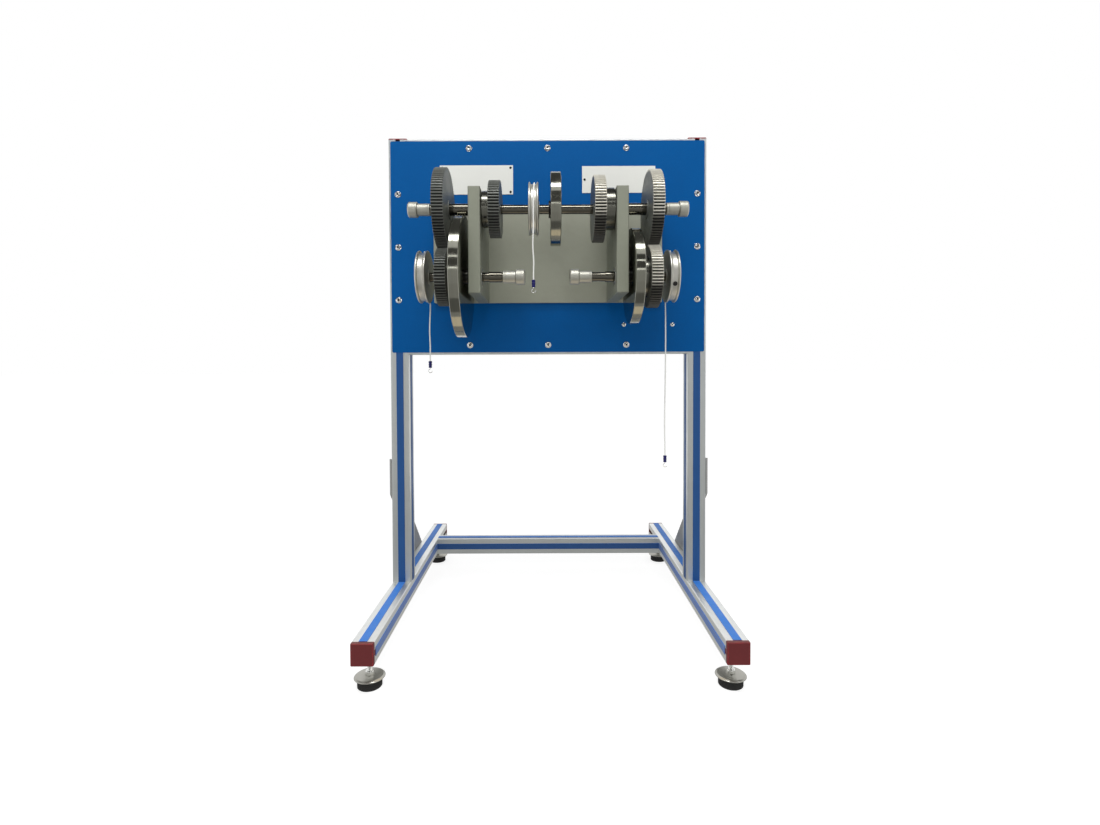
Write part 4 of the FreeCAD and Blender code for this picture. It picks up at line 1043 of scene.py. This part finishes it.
class APPARATUS_OT_mount(PieceOperator, bpy.types.Operator):
    """Backing plate, cheeks and the cap screws that hold them from behind"""

    bl_idname = "apparatus.mount"
    bl_label = "Mount"

    def make(self, sizes):
        keep_solid("backing_plate", "hard_coat", sizes.bar_edge * 1.5)
        for name in ("left_cheek", "right_cheek"):
            keep_solid(name, "cheek_coat", sizes.bar_edge * 1.2)
        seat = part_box("front_panel")[1].y
        mid = middle("cheek_screws")
        key = 3.4
        outline = [(0, -34), (4, -34), (4, 0, 0), (6.5, 0), (6.5, 7.9), (key * 1.12, 7.9)]
        socket = [(key, 7.6, HEXAGON), (key, 3.2, HEXAGON), (0, 2.2)]
        bm = bmesh.new()
        for x in (-154, 154):
            for z in (-80, 0, 80):
                place = frame_at((x * MM, seat, mid + z * MM), BACK)
                turned(bm, outline, 0.6, 36, place, closed=False, sharp=socket)
        piece("cheek_cap_screws", bm, "black_oxide", "stand", "cheek_screws")


class APPARATUS_OT_bearings(PieceOperator, bpy.types.Operator):
    """Sealed ball bearings: ground rings with eased lips, and a dark seal between them"""

    bl_idname = "apparatus.bearings"
    bl_label = "Bearings"

    def make(self, sizes):
        outer = mirrored([(21, 12), (17.6, 12), (17.3, 11.2, 0.2), (16, 11.2, 0.1)])
        inner = mirrored([(BORE, 12), (13.2, 12), (13.4, 11.1, 0.2), (14.6, 10.9, 0.1)])
        seal = [
            (13.6, 10.2), (13.6, 10.9), (14.4, 11.25), (15.2, 10.9), (16.4, 11.2), (17.25, 10.9), (17.25, 10.2)]
        steps = sizes.round_steps // 2
        for name, x, train in (
            ("left_main", -154, "main"), ("right_main", 154, "main"),
            ("left_lower", -154, "left"), ("right_lower", 154, "right"),
        ):
            place = on_shaft(train, x)
            turned_piece(f"{name}_outer_ring", outer, 0.5, steps, "ring_steel", "stand", "bearing_steel",
                         "bearing_outer_rings", place)
            turned_piece(f"{name}_inner_ring", inner, 0.4, steps, "ring_steel", f"{train}_shaft_set",
                         "bearing_steel", f"{train}_inner_rings", place)
            bm = bmesh.new()
            for side in (-1, 1):
                turned(bm, [(out, side * level) for out, level in seal], 0.3, 96)
            piece(f"{name}_seals", bm, "seal_rubber", "stand", place=place)


class APPARATUS_OT_shafts(PieceOperator, bpy.types.Operator):
    """Ground shafts, spacer sleeves, bushes and the collar by the main flywheel"""

    bl_idname = "apparatus.shafts"
    bl_label = "Shafts"

    def make(self, sizes):
        steps = sizes.round_steps // 2
        for train in AXES:
            low, high = (corner.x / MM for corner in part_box(f"{train}_shaft"))
            run = high - low
            outline = [(0, 0), (9, 0), (10, 1), (10, run - 1), (9, run), (0, run)]
            turned_piece(f"{train}_shaft_bar", outline, 0.25, steps, "ground_steel", f"{train}_shaft_set",
                         "shaft_steel", f"{train}_shaft", on_shaft(train, low), closed=False)
        bm = bmesh.new()
        for low, high in ((-210.5, -166), (166, 209.5)):
            turned(bm, ring(BORE, 12.5, low, high), 0.5, steps)
        place = on_shaft("main")
        piece("spacer_sleeves", bm, "ground_steel", "main_shaft_set", "main_sleeves", place)
        turned_piece("flywheel_collar", ring(BORE, 18, 1, 4.5), 0.6, steps, "black_oxide", "main_shaft_set",
                     "sleeve_steel", "main_collar", place)
        for train, low, high in (("left", -127, -100.2), ("right", 122, 141)):
            turned_piece(f"{train}_bush", ring(10, 11.4, low, high), 0.5, steps, "ground_steel",
                         f"{train}_shaft_set", "shaft_steel", place=on_shaft(train))


# Each gear: its shaft, teeth, the face its teeth start from (mm), the way to its hub, hub radius and length
# past the teeth (mm), the angle of one tooth's middle from its own X, in degrees, and the finish of its teeth
GEARS = {
    "upper_left_gear": ("main", 84, -236, 1, 20, 1.5, 0, "gear_faces"),
    "upper_right_gear": ("main", 79, 235, -1, 20, 1.5, 0, "bare_gear_faces"),
    "inner_left_gear": ("main", 58, -101, -1, 38, 15, 183.1034, "gear_faces"),
    "inner_right_gear": ("main", 68, 95, 1, 44, 21, 182.6471, "bare_gear_faces"),
    "left_gear": ("left", 60, -236, 1, 38, 15.98, 183, "gear_faces"),
    "right_gear": ("right", 65, 235, -1, 44, 17.98, 182.7692, "bare_gear_faces"),
}
PRESSURE_ANGLE = math.radians(20)
TOOTH_PLAY = 0.05 * MM
LONG_HUB = 10


class APPARATUS_OT_gears(PieceOperator, bpy.types.Operator):
    """Spur gears with involute teeth, turned tip chamfers, hubs and set screws"""

    bl_idname = "apparatus.gears"
    bl_label = "Gears"

    def make(self, sizes):
        for name, row in GEARS.items():
            self.gear(name, sizes, *row)

    def gear(self, name, sizes, train, teeth, start, way, hub, hub_length, turned_by, surface):
        bm = bmesh.new()
        self.teeth(bm, sizes, teeth, math.radians(turned_by))
        width = sizes.gear_width / MM
        top = width + hub_length
        outline = [
            (BORE, 0.35), (hub - 1, 0.35, 0), (hub - 1, width - 2, 0), (hub, width - 2, 0), (hub, top), (12, top),
            (BORE, top - 0.8),
        ]
        turned(bm, outline, min(1, hub_length * 0.3), sizes.round_steps, surface=3)
        place = on_shaft(train, start, way)
        body = f"{train}_shaft_set"
        hub_surface = "turned_hub" if hub_length > LONG_HUB else "gear_sides"
        surfaces = f"{surface} blackened_recess gear_sides {hub_surface}"
        piece(name + "_cut", bm, surfaces, body, name, place)
        if hub_length > LONG_HUB:
            bm = bmesh.new()
            for angle in (0.9, 0.9 + 2 * math.pi / 3):
                out = spoke(1, angle)
                set_screw(bm, (out * hub + UP * (width + hub_length / 2)) * MM, out, UP, 2.9, 4)
            piece(name + "_set_screws", bm, BLACK_SCREW, body, place=place)

    def teeth(self, bm, sizes, teeth, turned_by):
        """Adds the toothed disc, from the gear's own face up: its lands, its gaps painted dark as shade, and sides."""
        width = sizes.gear_width
        chamfer = sizes.tooth_chamfer
        pitch = sizes.gear_module * teeth / 2
        tip = pitch + sizes.gear_module
        foot = pitch - 1.25 * sizes.gear_module

        def half_tooth(radius):
            contact = math.acos(min(1, pitch * math.cos(PRESSURE_ANGLE) / radius))
            involute = math.tan(contact) - contact
            at_pitch = math.tan(PRESSURE_ANGLE) - PRESSURE_ANGLE
            return math.pi / 2 / teeth - involute + at_pitch - TOOTH_PLAY / pitch

        levels = [foot + (tip - foot) * part for part in (0, 0.12, 0.45, 0.78, 1)]
        flank = [(radius, half_tooth(max(radius, foot + 0.05 * MM))) for radius in levels]
        flank[0] = (foot, flank[1][1] * 1.12)
        outline = []
        for number in range(teeth):
            centre = turned_by + 2 * math.pi * number / teeth
            outline += [(radius, centre - half) for radius, half in flank]
            outline += [(radius, centre + half) for radius, half in reversed(flank)]
        limits = [(12 * MM, 0), (foot - 1.6 * MM, 0), (foot - 1.2 * MM, 0), (tip - chamfer, 0), (tip, chamfer)]
        limits += [(limit, width - level) for limit, level in reversed(limits)]
        rings = []
        for limit, level in limits:
            rings.append([bm.verts.new(spoke(min(radius, limit), angle, level)) for radius, angle in outline])
        around = 2 * len(flank)
        gap = (0, 1, around - 3, around - 2, around - 1)

        # The roots of the gaps take the second surface, painted dark as shade
        def surface(level, step):
            if level == 4 and step % around in gap:
                return 1
            return 0 if level in (3, 4, 5) else 2

        skin(bm, rings, closed=True, surface=surface)


class APPARATUS_OT_flywheels(PieceOperator, bpy.types.Operator):
    """Turned flywheels with polished rims, eased edges and bosses"""

    bl_idname = "apparatus.flywheels"
    bl_label = "Flywheels"

    def make(self, sizes):
        for train, start, way, rim, wide, boss in (
            ("main", 4.5, 1, 77, 22, 0), ("left", -175, -1, 129, 21, 9), ("right", 173, 1, 101, 20, 7),
        ):
            bm = bmesh.new()
            if boss:
                # Painted shade: the boss takes the dark oxide surface for the shade between the flywheel and the cheek
                turned(bm, ring(BORE, 14.5, -boss, 0.2), 0.4, sizes.round_steps // 2, surface=1)
            step = rim * 0.45
            outline = [
                (BORE, 0), (rim - 1.2, 0, 0.3), (rim, 1, 0.5), (rim, wide - 1, 0.5), (rim - 1.2, wide, 0.3),
                (step, wide, 0.3), (step - 0.5, wide - 0.5, 0.2), (17, wide - 0.5, 0.2), (16.5, wide, 0.3),
                (BORE, wide),
            ]
            turned(bm, outline, 0.4, sizes.round_steps * 2 if rim > 100 else sizes.round_steps)
            piece(f"{train}_flywheel_disc", bm, "turned_steel black_oxide", f"{train}_shaft_set",
                  f"{train}_flywheel", on_shaft(train, start, way))


class APPARATUS_OT_pulleys(PieceOperator, bpy.types.Operator):
    """Bright turned pulleys with rounded flanges, cord grooves and set screws"""

    bl_idname = "apparatus.pulleys"
    bl_label = "Pulleys"

    def make(self, sizes):
        outline = mirrored([
            (BORE, 11.9), (17, 11.9, 0.6), (17.4, 10.5, 0.4), (54.8, 10.5, 1.2), (56, 9.4, 0.8), (56, 7.5, 0.7),
            (54.4, 6.5, 0.8), (51.9, 5.6, 0.9), (51.5, 3.6, 1.2),
        ])
        for train, (centre, screw_at) in PULLEYS.items():
            place = on_shaft(train, centre)
            body = f"{train}_shaft_set"
            turned_piece(f"{train}_pulley_wheel", outline, 0.4, sizes.round_steps, "turned_aluminium", body,
                         "pulley_aluminium", f"{train}_pulley", place, sharp=40, corner_steps=4)
            if screw_at is not None:
                bm = bmesh.new()
                out = spoke(1, screw_at)
                set_screw(bm, out * 51.45 * MM, out, UP, 4.9, 5)
                piece(f"{train}_pulley_set_screw", bm, BLACK_SCREW, body, place=place)


class APPARATUS_OT_knobs(PieceOperator, bpy.types.Operator):
    """Satin end knobs with stepped necks, dished ends and set screws"""

    bl_idname = "apparatus.knobs"
    bl_label = "Knobs"

    def make(self, sizes):
        outline = [
            (BORE, 0, 0), (12.4, 0), (13, 0.8), (13, 3.6, 0.2), (12.5, 4.1, 0.2), (12.5, 5, 0.2), (13, 5.5, 0.2),
            (13, 26.9, 0.6), (14, 27.5, 0.3), (15.6, 27.5, 0.8), (16.5, 28.7, 1), (16.5, 45.7, 1.6),
            (14.2, 47.5, 1.4), (9, 47.1, 2), (2.2, 46.7, 0.5), (1.2, 45.9, 0.2), (0, 45.7), (0, 15), (BORE, 15, 0),
        ]
        out = Vector((0.25, 0.97, 0)).normalized()
        for name, train, ends in (
            ("main_knobs", "main", ((-252, -1), (252, 1))),
            ("left_knob", "left", ((-97.5, 1),)),
            ("right_knob", "right", ((93, -1),)),
        ):
            knobs = bmesh.new()
            screws = bmesh.new()
            for start, way in ends:
                turned(knobs, outline, 0.5, sizes.round_steps, frame_at(UP * start * MM, UP * way, RIGHT))
                set_screw(screws, (UP * (start + way * 14) + out * 12.95) * MM, out, UP, 2.3, 3)
            place = on_shaft(train)
            body = f"{train}_shaft_set"
            piece(name + "_turned", knobs, "satin_aluminium", body, name, place)
            piece(name + "_set_screws", screws, BLACK_SCREW, body, place=place)


# The lamps: their place, what they point at, their size (m) and their tint
LAMPS = {
    "softbox": ((0, -1.02, 2.4), (0, -0.8, 0.6), (1.5, 0.3), (1, 1, 1)),
    "front_fill": ((-0.5, -3.4, 2.3), (0, -0.2, 0.8), (2.2, 1.4), (1, 0.99, 0.97)),
}
# Boards that show only in polished metal, as a studio's flags and bounce boards do: their tint, strength, and
# each sheet's left, right, near, far, low and high edge (m)
CARDS = {
    "wall_front": ((1, 1, 0.98), 0.5, (-1.7, 1.7, -2.6, -2.6, 0, 1.2)),
    "floor_low": ((1, 0.99, 0.96), 0.44, (-1.3, 1.3, -2.6, 1.2, 0.004, 0.004)),
    "flag_front": ((1, 1, 0.96), 0.11, (-3, 3, -2.35, -2.35, 1.15, 2.9)),
    "flag_over": ((1, 1, 0.96), 0.1, (-3, 3, -0.76, 0.9, 2.42, 2.42)),
    "strip_high": ((1, 1, 1), 5, (-3, -0.2, -2.34, -2.34, 1.95, 2.02), (0.2, 3, -2.34, -2.34, 1.95, 2.02)),
    "strip_low": ((1, 1, 1), 4, (-3, 3, -2.34, -2.34, 1.11, 1.17)),
    "board_front": ((1, 1, 0.96), 0.19, (-0.5, 0.5, -1.1, -0.55, 0.01, 0.01)),
    "board_low": ((1, 0.87, 0.68), 1.15, (-0.33, -0.1, -0.38, -0.18, 0.35, 0.35),
                  (-0.1, 0.1, -0.42, -0.18, 0.35, 0.35), (0.1, 0.33, -0.38, -0.18, 0.35, 0.35)),
}
FLOOR_REACH = 40
SEEN_FLOOR_GREY = 0.42
SEEN_FLOOR_GLOW = 0.8


class APPARATUS_OT_stage(bpy.types.Operator):
    """Pale floor, white surroundings, soft lamps and the camera"""

    bl_idname = "apparatus.stage"
    bl_label = "Stage"
    bl_options = {"REGISTER", "UNDO"}

    def execute(self, context):
        stage = context.scene.apparatus_stage
        self.floor(stage)
        self.world(context.scene, stage)
        self.lamps({"softbox": stage.softbox_power, "front_fill": stage.fill_power})
        self.cards()
        self.camera(context.scene, stage)
        context.scene.view_settings.view_transform = "Standard"
        return {"FINISHED"}

    def seen(self, tree):
        """1 for what the camera sees, straight or in metal and glass."""
        rays = put(tree, "LightPath").outputs
        seen = sum_up(tree, "MAXIMUM", rays["Is Camera Ray"], rays["Is Glossy Ray"])
        return sum_up(tree, "MAXIMUM", seen, rays["Is Transmission Ray"])

    def sheets(self, name, edges, material):
        """A stage piece of flat sheets."""
        corners = []
        for left, right, near, far, low, high in edges:
            corners += [(left, near, low), (right, near, low), (right, far, high), (left, far, high)]
        mesh = bpy.data.meshes.new(name)
        mesh.from_pydata(corners, [], [tuple(range(first, first + 4)) for first in range(0, len(corners), 4)])
        mesh.materials.append(material)
        made = link(name, mesh)
        return made

    def floor(self, stage):
        material = bpy.data.materials.new("pale_floor")
        tree = new_tree(material)
        plain = put(tree, "BsdfDiffuse", {"Color": (*stage.floor_grey, 1)})
        shaded = put(tree, "BsdfDiffuse", {"Color": (*[SEEN_FLOOR_GREY] * 3, 1)})
        white = put(tree, "Emission", {"Color": (1, 1, 1, 1), "Strength": SEEN_FLOOR_GLOW})
        both = put(tree, "AddShader", {0: shaded.outputs[0], 1: white.outputs[0]})
        mixed = put(tree, "MixShader", {0: self.seen(tree), 1: plain.outputs[0], 2: both.outputs[0]})
        put(tree, "OutputMaterial", {"Surface": mixed.outputs[0]})
        self.sheets("floor", [(-FLOOR_REACH, FLOOR_REACH, -FLOOR_REACH, FLOOR_REACH, 0, 0)], material)

    def world(self, scene, stage):
        scene.world = bpy.data.worlds.new("white_room")
        tree = new_tree(scene.world)
        room = put(tree, "Background", {"Color": (1, 1, 1, 1), "Strength": stage.room_light})
        white = put(tree, "Background", {"Color": (1, 1, 1, 1), "Strength": 1.0})
        mixed = put(tree, "MixShader", {0: self.seen(tree), 1: room.outputs[0], 2: white.outputs[0]})
        put(tree, "OutputWorld", {"Surface": mixed.outputs[0]})

    def lamps(self, powers):
        for name, (place, target, size, tone) in LAMPS.items():
            lamp = bpy.data.lights.new(name, "AREA")
            lamp.shape = "RECTANGLE"
            lamp.size, lamp.size_y = size
            lamp.energy = powers[name]
            lamp.color = tone
            holder = link(name, lamp)
            holder.location = place
            holder.rotation_euler = (Vector(target) - Vector(place)).to_track_quat("-Z", "Y").to_euler()
            holder.visible_camera = False
            holder.visible_glossy = name == "softbox"

    def cards(self):
        for name, (tone, strength, *edges) in CARDS.items():
            material = bpy.data.materials.new(name)
            tree = new_tree(material)
            flat = put(tree, "Emission", {"Color": (*tone, 1), "Strength": strength})
            put(tree, "OutputMaterial", {"Surface": flat.outputs[0]})
            card = self.sheets(name, edges, material)
            for kind in ("camera", "diffuse", "transmission", "shadow", "volume_scatter"):
                setattr(card, "visible_" + kind, False)

    def camera(self, scene, stage):
        data = bpy.data.cameras.new("camera")
        data.sensor_width = 36
        data.lens = stage.camera_lens
        data.shift_x = stage.shift_x
        data.shift_y = stage.shift_y
        camera = link("camera", data)
        level = Matrix.Rotation(math.pi / 2 - stage.camera_tilt, 4, "X")
        roll = Matrix.Rotation(stage.camera_roll, 4, "Z")
        camera.matrix_world = Matrix.Translation(stage.camera_place) @ level @ roll
        scene.camera = camera


OPERATORS = (*PieceOperator.__subclasses__(), APPARATUS_OT_stage)
SETTINGS = {
    "apparatus_colours": ApparatusColours,
    "apparatus_wear": ApparatusWear,
    "apparatus_sizes": ApparatusSizes,
    "apparatus_stage": ApparatusStage,
}


class APPARATUS_PT_sidebar(bpy.types.Panel):
    """Lists the apparatus's pieces and settings"""

    bl_idname = "APPARATUS_PT_sidebar"
    bl_label = "Geared acceleration apparatus"
    bl_space_type = "VIEW_3D"
    bl_region_type = "UI"
    bl_category = "Apparatus"

    def draw(self, context):
        column = self.layout.column(align=True)
        for operator in OPERATORS:
            column.operator(operator.bl_idname)
        for name, group in SETTINGS.items():
            box = self.layout.box()
            settings = getattr(context.scene, name)
            for key in group.__annotations__:
                box.prop(settings, key)


CLASSES = (*SETTINGS.values(), *OPERATORS, APPARATUS_PT_sidebar)


def register():
    for kind in CLASSES:
        bpy.utils.register_class(kind)
    for name, group in SETTINGS.items():
        setattr(bpy.types.Scene, name, PointerProperty(type=group))


def unregister():
    for name in SETTINGS:
        delattr(bpy.types.Scene, name)
    for kind in reversed(CLASSES):
        bpy.utils.unregister_class(kind)


def main():
    register()
    for row in EFFECTS:
        make_effect(*row)
    for operator in OPERATORS:
        getattr(bpy.ops.apparatus, operator.bl_idname.split(".")[1])()


if __name__ == "__main__":
    main()
